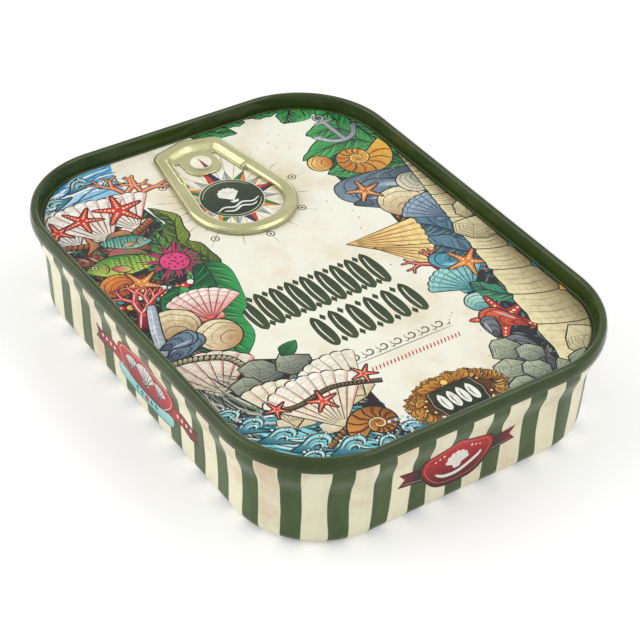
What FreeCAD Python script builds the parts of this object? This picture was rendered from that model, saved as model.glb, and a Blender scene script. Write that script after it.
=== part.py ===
"""A shallow rectangular food tin with a full-panel easy-open end, closed and full.

The tin is three pieces, as the real one is made:

    can_body   the drawn body with its necked top and body hook, solid with what it holds
    lid        the end: double seam, chuck wall, countersink, scored panel and integral rivet
    ring_pull  the pull with rolled edges, a dished nose and a tongue held under the rivet

The origin is the centre of the base. +X runs across the tin, +Y along it towards the nose
of the ring pull, and +Z up. Lengths are millimetres.

The tin's walls are profiles swept round a rounded rectangle. A place on a profile is
written as an inset, which is how far it lies inside the double seam's outer edge, and a
height above the base.
"""

import FreeCAD, Part

import math
import os
import re

import Sketcher
from FreeCAD import Vector

# The driving dimensions: the sheet's aliases, what each is set to, and what it means.
SIZES = {
    # the whole tin
    "tin_width": (79.0, "across the double seam"),
    "tin_length": (104.0, "along the double seam"),
    "tin_height": (22.5, "from the base to the crown of the seam"),
    "corner_radius": (20.0, "plan radius of the seam's outer edge"),
    "sweep_depth": (9.5, "how far in the swept edge reaches before the flat core begins"),
    # the double seam
    "seam_height": (3.0, "from the seam's foot to its crown"),
    "seam_layer": (0.36, "each of the three layers outside the body wall"),
    "seam_crown_radius": (0.6, "rounding of the crown, outside and inside"),
    "seam_foot_radius": (0.25, "rounding of the folded lower edge"),
    "body_hook": (1.7, "length of the body hook inside the seam"),
    # the drawn body
    "body_sheet": (0.2, "thickness of the body wall"),
    "neck_height": (3.4, "straight neck below the seam's foot"),
    "shoulder_height": (2.4, "height of the step from neck to wall"),
    "wall_step": (1.3, "how far the step moves the wall in"),
    "wall_taper": (0.6, "how far the wall leans in between the step and the base"),
    "shoulder_radius": (2.4, "bends of the step"),
    "base_radius": (2.6, "bend between wall and base"),
    "foot_width": (1.7, "flat ring that the tin stands on"),
    "base_step": (0.6, "depth of the recess inside the foot"),
    "base_step_run": (0.7, "width of the recess's sloping edge"),
    "base_step_radius": (0.5, "bends of the recess's edge"),
    # the end
    "lid_sheet": (0.25, "thickness of the end"),
    "panel_drop": (2.8, "from the seam's crown down to the panel"),
    "countersink_depth": (0.5, "from the panel down to the bottom of the countersink"),
    "countersink_width": (0.65, "flat width of the countersink between its bends"),
    "countersink_radius": (0.28, "bends of the countersink"),
    "chuck_run": (0.45, "how far the chuck wall leans in on its way down"),
    "panel_run": (0.25, "how far the panel's wall leans in on its way up"),
    "panel_radius": (0.3, "bend at the edge of the panel"),
    "score_inset": (0.9, "from the edge of the panel in to the score line"),
    "score_width": (0.3, "width of the score line"),
    "score_depth": (0.1, "depth of the score line"),
    # the rivet, raised out of the end itself
    "rivet_shank": (3.2, "diameter of the shank"),
    "rivet_head": (4.4, "diameter of the staked head"),
    "rivet_head_height": (0.4, "thickness of the head"),
    "rivet_head_radius": (0.2, "rounding of the head's edge"),
    # the ring pull, seen from above
    "nose_clearance": (1.5, "from the edge of the panel back to the tip of the nose"),
    "pull_length": (34.4, "from the tip of the nose to the wide end"),
    "pull_end_radius": (10.7, "radius of the wide end's two corners"),
    "pull_end_flat": (1.0, "flat between those corners"),
    "pull_taper": (9.5, "lean of each side, in degrees"),
    "nose_slope": (16.0, "fall of each half of the nose, in degrees"),
    "nose_radius": (6.0, "rounding of the nose's tip"),
    "shoulder_corner": (2.4, "rounding between nose and side"),
    "rim_width": (2.9, "width of the rolled rim"),
    "pull_hole_corner": (0.5, "small corners of the finger hole"),
    # the ring pull, in section
    "rim_gap": (0.15, "from the panel up to the underside of the rim"),
    "rim_height": (1.25, "height of the rolled rim"),
    "rim_outer_roll": (0.55, "rounding of the rim's outer edges"),
    "rim_inner_roll": (0.45, "rounding of the rim's inner edges"),
    "tongue_sheet": (0.5, "thickness of the web and the tongue"),
    # the dished nose and the tongue
    "dish_nose": (2.3, "flat top left along the nose"),
    "dish_side": (2.1, "flat top left along the sides"),
    "dish_run": (1.3, "width of the dish's sloping sides"),
    "dish_nose_run": (1.9, "width of the dish's slope below the nose"),
    "dish_length": (14.2, "from the tip of the nose to the open end of the dish"),
    "slot_ledge": (0.1, "web left between the dish's slope and the slots"),
    "slot_top": (5.9, "from the tip of the nose to the top of the slots beside the tongue"),
    "rivet_back": (8.3, "from the tip of the nose to the rivet"),
    "tongue_half": (3.75, "half the width of the tongue"),
    "tongue_tail": (3.8, "from the rivet to the tongue's free end"),
    "tongue_corner": (3.0, "rounding of the tongue's free end"),
    "web_edge": (1.2, "from the nose's outer edge in to the web's edge under the rim"),
}

os.makedirs("parts", exist_ok=True)
doc = FreeCAD.newDocument("FoodTin")

sheet = doc.addObject("Spreadsheet::Sheet", "Sizes")
for row, (alias, (size, meaning)) in enumerate(SIZES.items(), start=1):
    sheet.set(f"A{row}", alias)
    sheet.set(f"B{row}", str(size))
    sheet.setAlias(f"B{row}", alias)
    sheet.set(f"C{row}", meaning)
doc.recompute()


def bound(expression):
    """The expression with each alias written as a reference to the sheet's cell."""
    return re.sub(
        r"[a-z_]+",
        lambda word: f"Sizes.{word[0]}" if word[0] in SIZES else word[0],
        expression,
    )


def value(expression):
    """What an expression of aliases comes to now."""
    return float(sheet.evalExpression(bound(expression)))


def bind(feature, prop, expression):
    feature.setExpression(prop, bound(expression))


# ---------------------------------------------------------------- sketches

def new_body(label):
    body = doc.addObject("PartDesign::Body", label)
    body.Label = label
    return body


def new_sketch(body, name, role, height=None):
    """A sketch on one of the body's own origin planes, lifted to a height if one is given."""
    sketch = body.newObject("Sketcher::SketchObject", name)
    plane = next(f for f in body.Origin.OriginFeatures if f.Role == role)
    sketch.AttachmentSupport = (plane, [""])
    sketch.MapMode = "FlatFace"
    if height is not None:
        bind(sketch, "AttachmentOffset.Base.z", height)
    return sketch


def pin_point(sketch, geometry, end, along, up):
    """Holds a point of the sketch at two coordinates, each an expression."""
    for kind, axis, expression in (("DistanceX", -2, along), ("DistanceY", -1, up)):
        if expression == "0":
            sketch.addConstraint(Sketcher.Constraint("PointOnObject", geometry, end, axis))
            continue
        number = sketch.addConstraint(
            Sketcher.Constraint(kind, -1, 1, geometry, end, value(expression))
        )
        bind(sketch, f"Constraints[{number}]", expression)


def corner_arc(before, corner, after, radius):
    """The arc that rounds a corner, where it starts and ends, and which way it turns."""
    back = (before - corner).normalize()
    on = (after - corner).normalize()
    half = back.getAngle(on) / 2
    start = corner + back * (radius / math.tan(half))
    end = corner + on * (radius / math.tan(half))
    centre = corner + (back + on).normalize() * (radius / math.sin(half))
    left = back.cross(on).z < 0
    first, last = (start, end) if left else (end, start)
    angles = [math.atan2(p.y - centre.y, p.x - centre.x) for p in (first, last)]
    circle = Part.Circle(centre, Vector(0, 0, 1), radius)
    return Part.ArcOfCircle(circle, *angles), start, end, left


def draw_loop(sketch, corners):
    """A closed loop of straight sides. Each corner is (along, up, radius) in expressions,
    and a corner with no radius stays sharp."""
    places = [Vector(value(along), value(up), 0) for along, up, _ in corners]
    count = len(corners)
    arcs, starts, ends = {}, list(places), list(places)
    for i, (_, _, radius) in enumerate(corners):
        if radius:
            arc, start, end, left = corner_arc(
                places[i - 1], places[i], places[(i + 1) % count], value(radius)
            )
            arcs[i] = (sketch.addGeometry(arc), left)
            starts[i], ends[i] = start, end
    sides = [
        sketch.addGeometry(Part.LineSegment(ends[i], starts[(i + 1) % count]))
        for i in range(count)
    ]
    for i, (along, up, radius) in enumerate(corners):
        side_in, side_out = sides[i - 1], sides[i]
        if not radius:
            sketch.addConstraint(Sketcher.Constraint("Coincident", side_in, 2, side_out, 1))
            pin_point(sketch, side_out, 1, along, up)
            continue
        arc, left = arcs[i]
        entry, leave = (1, 2) if left else (2, 1)
        sketch.addConstraint(Sketcher.Constraint("Tangent", side_in, 2, arc, entry))
        sketch.addConstraint(Sketcher.Constraint("Tangent", arc, leave, side_out, 1))
        number = sketch.addConstraint(Sketcher.Constraint("Radius", arc, value(radius)))
        bind(sketch, f"Constraints[{number}]", radius)
        point = sketch.addGeometry(Part.Point(places[i]), True)
        sketch.addConstraint(Sketcher.Constraint("PointOnObject", point, 1, side_in))
        sketch.addConstraint(Sketcher.Constraint("PointOnObject", point, 1, side_out))
        pin_point(sketch, point, 1, along, up)


def draw_circle(sketch, along, up, diameter):
    """A circle about a point, each an expression."""
    centre = Vector(value(along), value(up), 0)
    circle = Part.Circle(centre, Vector(0, 0, 1), value(diameter) / 2)
    geometry = sketch.addGeometry(circle)
    pin_point(sketch, geometry, 3, along, up)
    number = sketch.addConstraint(Sketcher.Constraint("Diameter", geometry, value(diameter)))
    bind(sketch, f"Constraints[{number}]", diameter)


# ---------------------------------------------------------------- features

def rectangle(inset, split=False):
    """Corners of the tin's rounded rectangle at an inset. A split one starts on the X axis,
    where the profiles stand."""
    half_width = f"tin_width / 2 - ({inset})"
    half_length = f"tin_length / 2 - ({inset})"
    radius = f"corner_radius - ({inset})"
    corners = [
        (half_width, half_length, radius),
        (f"-({half_width})", half_length, radius),
        (f"-({half_width})", f"-({half_length})", radius),
        (half_width, f"-({half_length})", radius),
    ]
    return [(half_width, "0", None)] + corners if split else corners


def sweep_round(body, name, profile):
    """Sweeps a closed profile of (inset, height, radius) corners once round the tin."""
    path = new_sketch(body, f"{name}_path", "XY_Plane")
    draw_loop(path, rectangle("0", split=True))
    section = new_sketch(body, f"{name}_profile", "XZ_Plane")
    draw_loop(section, [(f"tin_width / 2 - ({i})", h, r) for i, h, r in profile])
    doc.recompute()
    pipe = body.newObject("PartDesign::AdditivePipe", name)
    pipe.Profile = section
    pipe.Spine = (path, [])
    pipe.Mode = "Standard"
    pipe.Refine = True
    return pipe


def pad(body, name, corners, height, thickness):
    """Pads a loop of corners up from a height by a thickness."""
    sketch = new_sketch(body, f"{name}_outline", "XY_Plane", height)
    draw_loop(sketch, corners)
    feature = body.newObject("PartDesign::Pad", name)
    feature.Profile = sketch
    bind(feature, "Length", thickness)
    feature.Refine = True
    return feature


def disc(body, name, place, height, diameter, thickness):
    """Pads a circle up from a height by a thickness."""
    sketch = new_sketch(body, f"{name}_circle", "XY_Plane", height)
    draw_circle(sketch, *place, diameter)
    feature = body.newObject("PartDesign::Pad", name)
    feature.Profile = sketch
    bind(feature, "Length", thickness)
    feature.Refine = True
    return feature


def cut_down(body, name, sketch, depth):
    """Cuts what the sketch bounds, from its plane down by a depth."""
    feature = body.newObject("PartDesign::Pocket", name)
    feature.Profile = sketch
    bind(feature, "Length", depth)
    feature.Refine = True
    return feature


def fillet(body, base, name, wanted, radius):
    """Rounds the edges of the base feature that `wanted` picks."""
    doc.recompute()
    names = [f"Edge{n}" for n, e in enumerate(base.Shape.Edges, start=1) if wanted(e)]
    if not names:
        raise RuntimeError(f"{name} found no edge to round")
    feature = body.newObject("PartDesign::Fillet", name)
    feature.Base = (base, names)
    bind(feature, "Radius", radius)
    return feature


def lies_at(height):
    """Picks edges that lie flat at a height, given as an expression."""
    level = value(height)
    return lambda edge: all(abs(v.Z - level) < 1e-4 for v in edge.Vertexes)


# ---------------------------------------------------------------- shared places

NECK = "3 * seam_layer"
SEAM_INSIDE = f"{NECK} + body_sheet + lid_sheet"
SEAM_FOOT = "tin_height - seam_height"
PANEL = "tin_height - panel_drop"
PANEL_UNDER = f"{PANEL} - lid_sheet"
COUNTERSINK = f"{PANEL} - countersink_depth"
COUNTERSINK_OUT = f"{SEAM_INSIDE} + chuck_run"
COUNTERSINK_IN = f"{COUNTERSINK_OUT} + countersink_width"
PANEL_EDGE = f"{COUNTERSINK_IN} + panel_run"
NOSE_TIP = f"tin_length / 2 - ({PANEL_EDGE}) - nose_clearance"
RIVET = ("0", f"{NOSE_TIP} - rivet_back")
TONGUE_TOP = f"{PANEL} + tongue_sheet"
RIM_UNDER = f"{PANEL} + rim_gap"
RIM_TOP = f"{RIM_UNDER} + rim_height"

# Where body and end meet, from the seam's foot up round the body hook and in to the core.
MEETING = [
    (NECK, SEAM_FOOT),
    (NECK, "tin_height - 2 * seam_layer"),
    ("2 * seam_layer", "tin_height - 2 * seam_layer"),
    ("2 * seam_layer", "tin_height - seam_layer - body_hook"),
    ("seam_layer", "tin_height - seam_layer - body_hook"),
    ("seam_layer", "tin_height - seam_layer"),
    (f"{NECK} + body_sheet", "tin_height - seam_layer"),
    (f"{COUNTERSINK_OUT} - lid_sheet", f"{COUNTERSINK} - lid_sheet"),
    (f"{COUNTERSINK_IN} + lid_sheet", f"{COUNTERSINK} - lid_sheet"),
    (f"{PANEL_EDGE} + lid_sheet", PANEL_UNDER),
    ("sweep_depth", PANEL_UNDER),
]


# ---------------------------------------------------------------- the body

def make_can_body():
    """The drawn body: foot, recessed base, leaning wall, step out to the neck, body hook."""
    body = new_body("can_body")
    shoulder_top = f"{SEAM_FOOT} - neck_height"
    shoulder_foot = f"{shoulder_top} - shoulder_height"
    wall_foot = f"{NECK} + wall_step + wall_taper"
    foot_inside = f"{wall_foot} + base_radius + foot_width"
    outside = [
        ("sweep_depth", "base_step", None),
        (f"{foot_inside} + base_step_run", "base_step", "base_step_radius"),
        (foot_inside, "0", "base_step_radius"),
        (wall_foot, "0", "base_radius"),
        (f"{NECK} + wall_step", shoulder_foot, "shoulder_radius"),
        (NECK, shoulder_top, "shoulder_radius"),
    ]
    inside = [(inset, height, None) for inset, height in MEETING[1:]]
    sweep_round(body, "body_edge", outside + inside)
    thickness = f"{PANEL_UNDER} - base_step"
    pad(body, "body_core", rectangle("sweep_depth"), "base_step", thickness)
    return body


# ---------------------------------------------------------------- the end

def make_lid():
    """The end: seam folded round the body hook, chuck wall, countersink, panel, rivet."""
    body = new_body("lid")
    score = f"{PANEL_EDGE} + score_inset"
    top = [
        ("sweep_depth", PANEL, None),
        (f"{score} + score_width / 2", PANEL, None),
        (score, f"{PANEL} - score_depth", None),
        (f"{score} - score_width / 2", PANEL, None),
        (PANEL_EDGE, PANEL, "panel_radius"),
        (COUNTERSINK_IN, COUNTERSINK, "countersink_radius"),
        (COUNTERSINK_OUT, COUNTERSINK, "countersink_radius"),
        (SEAM_INSIDE, "tin_height", "seam_crown_radius"),
        ("0", "tin_height", "seam_crown_radius"),
        ("0", SEAM_FOOT, "seam_foot_radius"),
    ]
    underside = [(inset, height, None) for inset, height in MEETING]
    sweep_round(body, "lid_edge", top + underside)
    pad(body, "lid_core", rectangle("sweep_depth"), PANEL_UNDER, "lid_sheet")
    disc(body, "rivet_shank", RIVET, PANEL, "rivet_shank", "tongue_sheet")
    head = disc(body, "rivet_head", RIVET, TONGUE_TOP, "rivet_head", "rivet_head_height")
    rivet_crown = lies_at(f"{TONGUE_TOP} + rivet_head_height")
    fillet(body, head, "rivet_head_edge", rivet_crown, "rivet_head_radius")
    return body


# ---------------------------------------------------------------- the ring pull

def pull_outline(nose, side, end, radii=("nose_radius", "shoulder_corner")):
    """Corners of the pull's outline, moved in from the nose, the sides and the wide end."""
    tip_radius, shoulder_radius = radii
    lean, fall = "tan(pull_taper * 1deg)", "tan(nose_slope * 1deg)"
    end_y = f"{NOSE_TIP} - pull_length"
    tip_y = f"{NOSE_TIP} + nose_radius * (1 / cos(nose_slope * 1deg) - 1)"
    tip_y = f"({tip_y} - ({nose}) / cos(nose_slope * 1deg))"
    half_end = "(pull_end_flat / 2 + pull_end_radius / tan((90 - pull_taper) / 2 * 1deg))"
    side_x = f"({half_end} - ({side}) / cos(pull_taper * 1deg))"
    shoulder_x = f"({side_x} - {lean} * ({tip_y} - ({end_y}))) / (1 - {lean} * {fall})"
    shoulder_y = f"{tip_y} - {fall} * ({shoulder_x})"
    end_x = f"{side_x} - {lean} * ({end})"
    end_y = f"{end_y} + ({end})"
    end_radius = f"pull_end_radius - ({end})"
    return [
        ("0", tip_y, tip_radius),
        (f"-({shoulder_x})", shoulder_y, shoulder_radius),
        (f"-({end_x})", end_y, end_radius),
        (end_x, end_y, end_radius),
        (shoulder_x, shoulder_y, shoulder_radius),
    ]


def side_at(inset, back):
    """How far from the centre line the pull's side is, moved in, at a way back from the tip."""
    half_end = "(pull_end_flat / 2 + pull_end_radius / tan((90 - pull_taper) / 2 * 1deg))"
    rise = f"(pull_length - ({back}))"
    return f"{half_end} - ({inset}) / cos(pull_taper * 1deg) - tan(pull_taper * 1deg) * {rise}"


def mirrored(half):
    """A loop from its half on the +X side, which runs from the nose to the wide end."""
    return half + [(f"-({x})", y, r) for x, y, r in reversed(half)]


def back_from_tip(back):
    return f"{NOSE_TIP} - ({back})"


def round_hole_edge(body, base, name, height):
    """Rolls the rim's inner edge at a height, round the wide end as far as the dish."""
    flat = lies_at(height)
    dish_end = value(back_from_tip("dish_length")) + 1e-4
    outline = value(side_at("rim_width", "pull_length"))

    def wanted(edge):
        box = edge.BoundBox
        inside = max(-box.XMin, box.XMax) < outline
        return flat(edge) and inside and all(v.Y < dish_end for v in edge.Vertexes)

    return fillet(body, base, name, wanted, "rim_inner_roll")


def cut_dish(body):
    """Sloping walls from the rim's flat top down to the web."""
    sections = []
    for name, height, run in (("dish_top", RIM_TOP, "0"), ("dish_floor", TONGUE_TOP, "1")):
        nose = f"dish_nose + {run} * dish_nose_run"
        side = f"dish_side + {run} * dish_run"
        tip, _, _, _, shoulder = pull_outline(nose, side, "0", (None, None))
        half = [
            (shoulder[0], shoulder[1], "pull_hole_corner"),
            (side_at(side, "dish_length"), back_from_tip("dish_length"), None),
        ]
        section = new_sketch(body, name, "XY_Plane", height)
        draw_loop(section, [tip] + mirrored(half))
        sections.append(section)
    doc.recompute()
    loft = body.newObject("PartDesign::SubtractiveLoft", "dish")
    loft.Profile = sections[0]
    loft.Sections = sections[1:]
    loft.Ruled = True
    return loft


def make_ring_pull():
    """The pull: rolled rim, dished nose, web and tongue, finger hole with its two slots."""
    body = new_body("ring_pull")
    dish_end, slot_end = back_from_tip("dish_length"), back_from_tip("slot_top")
    slot_side = "dish_side + dish_run + slot_ledge"
    slots_and_tongue = [
        (side_at(slot_side, "dish_length"), dish_end, None),
        (side_at(slot_side, "slot_top"), slot_end, "pull_hole_corner"),
        ("tongue_half", slot_end, "pull_hole_corner"),
        ("tongue_half", f"{RIVET[1]} - tongue_tail", "tongue_corner"),
    ]

    # the rim, rolled outside and inside
    rim = pad(body, "rim", pull_outline("0", "0", "0"), RIM_UNDER, "rim_height")
    rim = fillet(body, rim, "outer_roll_top", lies_at(RIM_TOP), "rim_outer_roll")
    fillet(body, rim, "outer_roll_under", lies_at(RIM_UNDER), "rim_outer_roll")
    wide_end = [
        (side_at("rim_width", "dish_length"), dish_end, None),
        pull_outline("rim_width", "rim_width", "rim_width")[3],
    ]
    hole = new_sketch(body, "finger_hole_outline", "XY_Plane", RIM_TOP)
    draw_loop(hole, mirrored(slots_and_tongue[::-1] + wide_end))
    rim = cut_down(body, "finger_hole", hole, "rim_height")
    rim = round_hole_edge(body, rim, "inner_roll_top", RIM_TOP)
    round_hole_edge(body, rim, "inner_roll_under", RIM_UNDER)
    cut_dish(body)

    # the web under the dish reaches down to the panel and carries the tongue
    tip, _, _, _, shoulder = pull_outline("web_edge", "web_edge", "0", (None, None))
    web_sides = [
        (shoulder[0], shoulder[1], "pull_hole_corner"),
        (side_at("web_edge", "dish_length"), dish_end, None),
    ]
    pad(body, "web", [tip] + mirrored(web_sides + slots_and_tongue), PANEL, "tongue_sheet")

    # the tongue's hole is filled by the rivet's shank
    shank = new_sketch(body, "rivet_hole_circle", "XY_Plane", TONGUE_TOP)
    draw_circle(shank, *RIVET, "rivet_shank")
    cut_down(body, "rivet_hole", shank, "tongue_sheet")
    return body


# ---------------------------------------------------------------- build, check, write

nodes = [make_can_body(), make_lid(), make_ring_pull()]
doc.recompute()

for item in doc.Objects:
    if {"Invalid", "Error"} & set(item.State):
        raise RuntimeError(f"{item.Label} did not build: {item.State}")
for node in nodes:
    if node.Shape.isNull() or not node.Shape.isValid() or len(node.Shape.Solids) != 1:
        raise RuntimeError(f"{node.Label} is not one valid solid")
for node in nodes:
    node.Shape.exportStep(os.path.join("parts", f"{node.Label}.step"))
    print(f"{node.Label}: {node.Shape.Volume:.1f} mm3, {len(node.Shape.Faces)} faces")
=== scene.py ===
"""The looks of a shallow rectangular food tin with a printed end, striped sides and a ring pull.

The walls and the end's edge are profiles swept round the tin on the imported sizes. The print is
drawn in code as flat coloured shapes laid over each other, of which only what shows is kept, so
it is a real surface with no images. Its motifs are generic: shells, mussels, weed, coral, fish
and waves round a bare parchment field, a wind rose, a wreath and plain badges, with no words.
"""
import cmath
import math
import random

import bpy
import numpy as np
from mathutils import Matrix, Vector
from mathutils.geometry import delaunay_2d_cdt, tessellate_polygon


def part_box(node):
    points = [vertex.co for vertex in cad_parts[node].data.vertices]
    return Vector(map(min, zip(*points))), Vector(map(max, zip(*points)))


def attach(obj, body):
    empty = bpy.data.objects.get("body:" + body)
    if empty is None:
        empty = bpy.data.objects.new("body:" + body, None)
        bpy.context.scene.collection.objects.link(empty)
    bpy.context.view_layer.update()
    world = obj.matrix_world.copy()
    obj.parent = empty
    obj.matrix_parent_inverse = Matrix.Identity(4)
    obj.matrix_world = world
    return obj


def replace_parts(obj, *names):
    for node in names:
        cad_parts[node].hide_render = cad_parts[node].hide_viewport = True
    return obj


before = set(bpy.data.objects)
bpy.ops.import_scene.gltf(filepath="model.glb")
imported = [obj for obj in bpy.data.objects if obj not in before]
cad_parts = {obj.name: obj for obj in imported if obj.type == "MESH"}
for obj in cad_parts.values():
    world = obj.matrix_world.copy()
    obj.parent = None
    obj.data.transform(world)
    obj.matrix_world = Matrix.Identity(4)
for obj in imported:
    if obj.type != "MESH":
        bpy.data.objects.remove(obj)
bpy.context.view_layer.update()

MM = 0.001

# The tin's own sizes in millimetres, as the construction has them.
HALF_WIDTH = (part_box("lid")[1][0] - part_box("lid")[0][0]) / 2 / MM
HALF_LENGTH = (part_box("lid")[1][1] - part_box("lid")[0][1]) / 2 / MM
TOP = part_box("lid")[1][2] / MM
CORNER = 20.0
NECK = 1.08
SEAM_FOOT = TOP - 3.0
PANEL = TOP - 2.8
GUTTER = PANEL - 0.5
RIVET = complex(0.0, 39.32)
RIVET_HEAD = 2.2
TONGUE_TOP = PANEL + 0.5
RIVET_TOP = TONGUE_TOP + 0.4
RIVET_ROLL = 0.2
RIVET_SIDES = 48


# ---------------------------------------------------------------- camera

AZIMUTH = math.radians(54.80)
ELEVATION = math.radians(38.34)
ROLL = math.radians(2.158)
DISTANCE = 381.35
SIDEWAYS, UPWARD = 2.53, 5.23
LENS = 110.72


def add_camera():
    flat = Vector((math.cos(AZIMUTH), math.sin(AZIMUTH), 0))
    ahead = flat * math.cos(ELEVATION) - Vector((0, 0, math.sin(ELEVATION)))
    level = Vector((math.sin(AZIMUTH), -math.cos(AZIMUTH), 0))
    above = level.cross(ahead)
    right = level * math.cos(ROLL) + above * math.sin(ROLL)
    up = right.cross(ahead)
    place = (-ahead * DISTANCE + right * SIDEWAYS + up * UPWARD) * MM
    data = bpy.data.cameras.new("camera")
    data.lens = LENS
    data.sensor_width = 36.0
    data.clip_start = 0.01
    camera = bpy.data.objects.new("camera", data)
    rows = [(right[i], up[i], -ahead[i], place[i]) for i in range(3)]
    camera.matrix_world = Matrix(rows + [(0, 0, 0, 1)])
    bpy.context.scene.collection.objects.link(camera)
    bpy.context.scene.camera = camera


# ---------------------------------------------------------------- node helpers

def linear(colour):
    """A colour written as display values, #rrggbb, as linear light."""
    shares = [int(colour[k:k + 2], 16) / 255 for k in (1, 3, 5)]
    return tuple(c / 12.92 if c <= 0.04045 else ((c + 0.055) / 1.055) ** 2.4 for c in shares)


class Nodes:
    """A material's node tree, with short ways to add and join nodes."""

    def __init__(self, name):
        self.material = bpy.data.materials.new(name)
        self.material.use_nodes = True
        self.tree = self.material.node_tree
        self.shader = self.tree.nodes["Principled BSDF"]

    def add(self, kind, **settings):
        node = self.tree.nodes.new(kind)
        for name, setting in settings.items():
            setattr(node, name, setting)
        return node

    def join(self, source, target):
        if isinstance(source, (int, float, tuple)):
            target.default_value = source
        else:
            self.tree.links.new(source, target)

    def maths(self, operation, a, b=0.0):
        node = self.add("ShaderNodeMath", operation=operation)
        self.join(a, node.inputs[0])
        self.join(b, node.inputs[1])
        return node.outputs[0]

    def ramp(self, source, low, high, out_low=0.0, out_high=1.0):
        node = self.add("ShaderNodeMapRange", interpolation_type="SMOOTHSTEP")
        for socket, thing in zip(node.inputs, (source, low, high, out_low, out_high)):
            self.join(thing, socket)
        return node.outputs[0]

    def mix(self, amount, a, b, blend="MIX"):
        node = self.add("ShaderNodeMix", data_type="RGBA", blend_type=blend)
        self.join(amount, node.inputs["Factor"])
        for socket, thing in ((node.inputs[6], a), (node.inputs[7], b)):
            self.join(thing + (1.0,) if isinstance(thing, tuple) else thing, socket)
        return node.outputs[2]

    def place(self, stretch):
        coordinates = self.add("ShaderNodeTexCoord").outputs["Object"]
        node = self.add("ShaderNodeMapping")
        node.inputs["Scale"].default_value = stretch
        self.join(coordinates, node.inputs["Vector"])
        return node.outputs[0]

    def noise(self, scale, detail, rough, stretch=(1, 1, 1)):
        node = self.add("ShaderNodeTexNoise")
        self.join(self.place(stretch), node.inputs["Vector"])
        node.inputs["Scale"].default_value = scale
        node.inputs["Detail"].default_value = detail
        node.inputs["Roughness"].default_value = rough
        return node.outputs["Fac"]

    def finish(self, colour, roughness, metallic=0.0, coat=0.0, coat_roughness=0.03, shine=0.5):
        self.join(colour, self.shader.inputs["Base Color"])
        self.join(roughness, self.shader.inputs["Roughness"])
        self.shader.inputs["Metallic"].default_value = metallic
        self.shader.inputs["Specular IOR Level"].default_value = shine
        self.shader.inputs["Coat Weight"].default_value = coat
        self.shader.inputs["Coat Roughness"].default_value = coat_roughness
        return self.material


# ---------------------------------------------------------------- materials

STRIPES = 39
GREEN_SHARE = 0.46
STRIPE_SHIFT = 9.8


def striped_print():
    """Cream and olive stripes with hand-painted edges, on a lacquered wall."""
    n = Nodes("striped_print")
    along = n.add("ShaderNodeAttribute", attribute_name="stripe").outputs["Fac"]
    wobble = n.maths("SUBTRACT", n.noise(75, 1.5, 0.5), 0.5)
    along = n.maths("ADD", along, n.maths("MULTIPLY", wobble, 0.2))
    rest = n.maths("FRACT", n.maths("ADD", along, 0.5))
    off = n.maths("ABSOLUTE", n.maths("SUBTRACT", rest, 0.5))
    green_part = n.ramp(off, GREEN_SHARE / 2 - 0.006, GREEN_SHARE / 2 + 0.006, 1.0, 0.0)
    stains = n.ramp(n.noise(95, 5.0, 0.6, (1, 1, 1.4)), 0.46, 0.72)
    cream = n.mix(stains, linear("#f9f5d6"), linear("#eedcbc"))
    smudge = n.ramp(n.noise(42, 6.0, 0.65), 0.48, 0.7, 0.0, 0.7)
    cream = n.mix(smudge, cream, linear("#dabe9e"))
    streak = n.ramp(n.noise(170, 4.0, 0.65, (1, 1, 0.1)), 0.5, 0.74, 0.0, 0.4)
    cream = n.mix(streak, cream, linear("#d6c2a2"))
    rim = n.ramp(off, GREEN_SHARE / 2 + 0.01, GREEN_SHARE / 2 + 0.05, 0.8, 0.0)
    cream = n.mix(rim, cream, linear("#f0eecc"))
    grain = n.ramp(n.noise(260, 3.0, 0.7, (1, 1, 0.3)), 0.3, 0.7)
    green = n.mix(grain, linear("#42542c"), linear("#506138"))
    colour = n.mix(green_part, cream, green)
    return n.finish(colour, 0.32, coat=0.12, coat_roughness=0.1, shine=0.2)


def olive_lacquer():
    """The end's own colour on the seam and the gutter."""
    n = Nodes("olive_lacquer")
    patches = n.ramp(n.noise(120, 4.0, 0.6), 0.35, 0.7)
    colour = n.mix(patches, linear("#303f14"), linear("#3c4c1e"))
    rub = n.ramp(n.noise(900, 2.0, 0.5), 0.3, 0.8, 0.2, 0.25)
    return n.finish(colour, rub, coat=0.5, coat_roughness=0.05, shine=0.06)


def printed_ink():
    """Ink on a lacquered end. The colours come with the mesh, and the ink lies unevenly."""
    n = Nodes("printed_ink")
    ink = n.add("ShaderNodeAttribute", attribute_name="ink")
    drawn = ink.outputs["Alpha"]
    stains = n.ramp(n.noise(55, 6.0, 0.62), 0.42, 0.72, 0.0, 0.85)
    paper = n.mix(stains, ink.outputs["Color"], linear("#eedec8"), "MULTIPLY")
    fibre = n.ramp(n.noise(330, 4.0, 0.7, (1, 0.6, 1)), 0.3, 0.7, 0.965, 1.0)
    fibres = n.add("ShaderNodeCombineColor")
    for socket in fibres.inputs:
        n.join(fibre, socket)
    paper = n.mix(1.0, paper, fibres.outputs[0], "MULTIPLY")
    wash = n.ramp(n.noise(620, 4.0, 0.75), 0.34, 0.6)
    inked = n.mix(wash, n.mix(0.22, ink.outputs["Color"], (0.0, 0.0, 0.0)), ink.outputs["Color"])
    return n.finish(n.mix(drawn, paper, inked), 0.3, coat=0.12, coat_roughness=0.1, shine=0.16)


def badge_ink():
    """The badges' ink: plain printed colours."""
    n = Nodes("badge_ink")
    ink = n.add("ShaderNodeAttribute", attribute_name="ink").outputs["Color"]
    wash = n.ramp(n.noise(480, 3.0, 0.6), 0.3, 0.75, 0.0, 0.1)
    return n.finish(n.mix(wash, ink, (0.0, 0.0, 0.0)), 0.3, coat=0.12, coat_roughness=0.1, shine=0.2)


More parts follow.
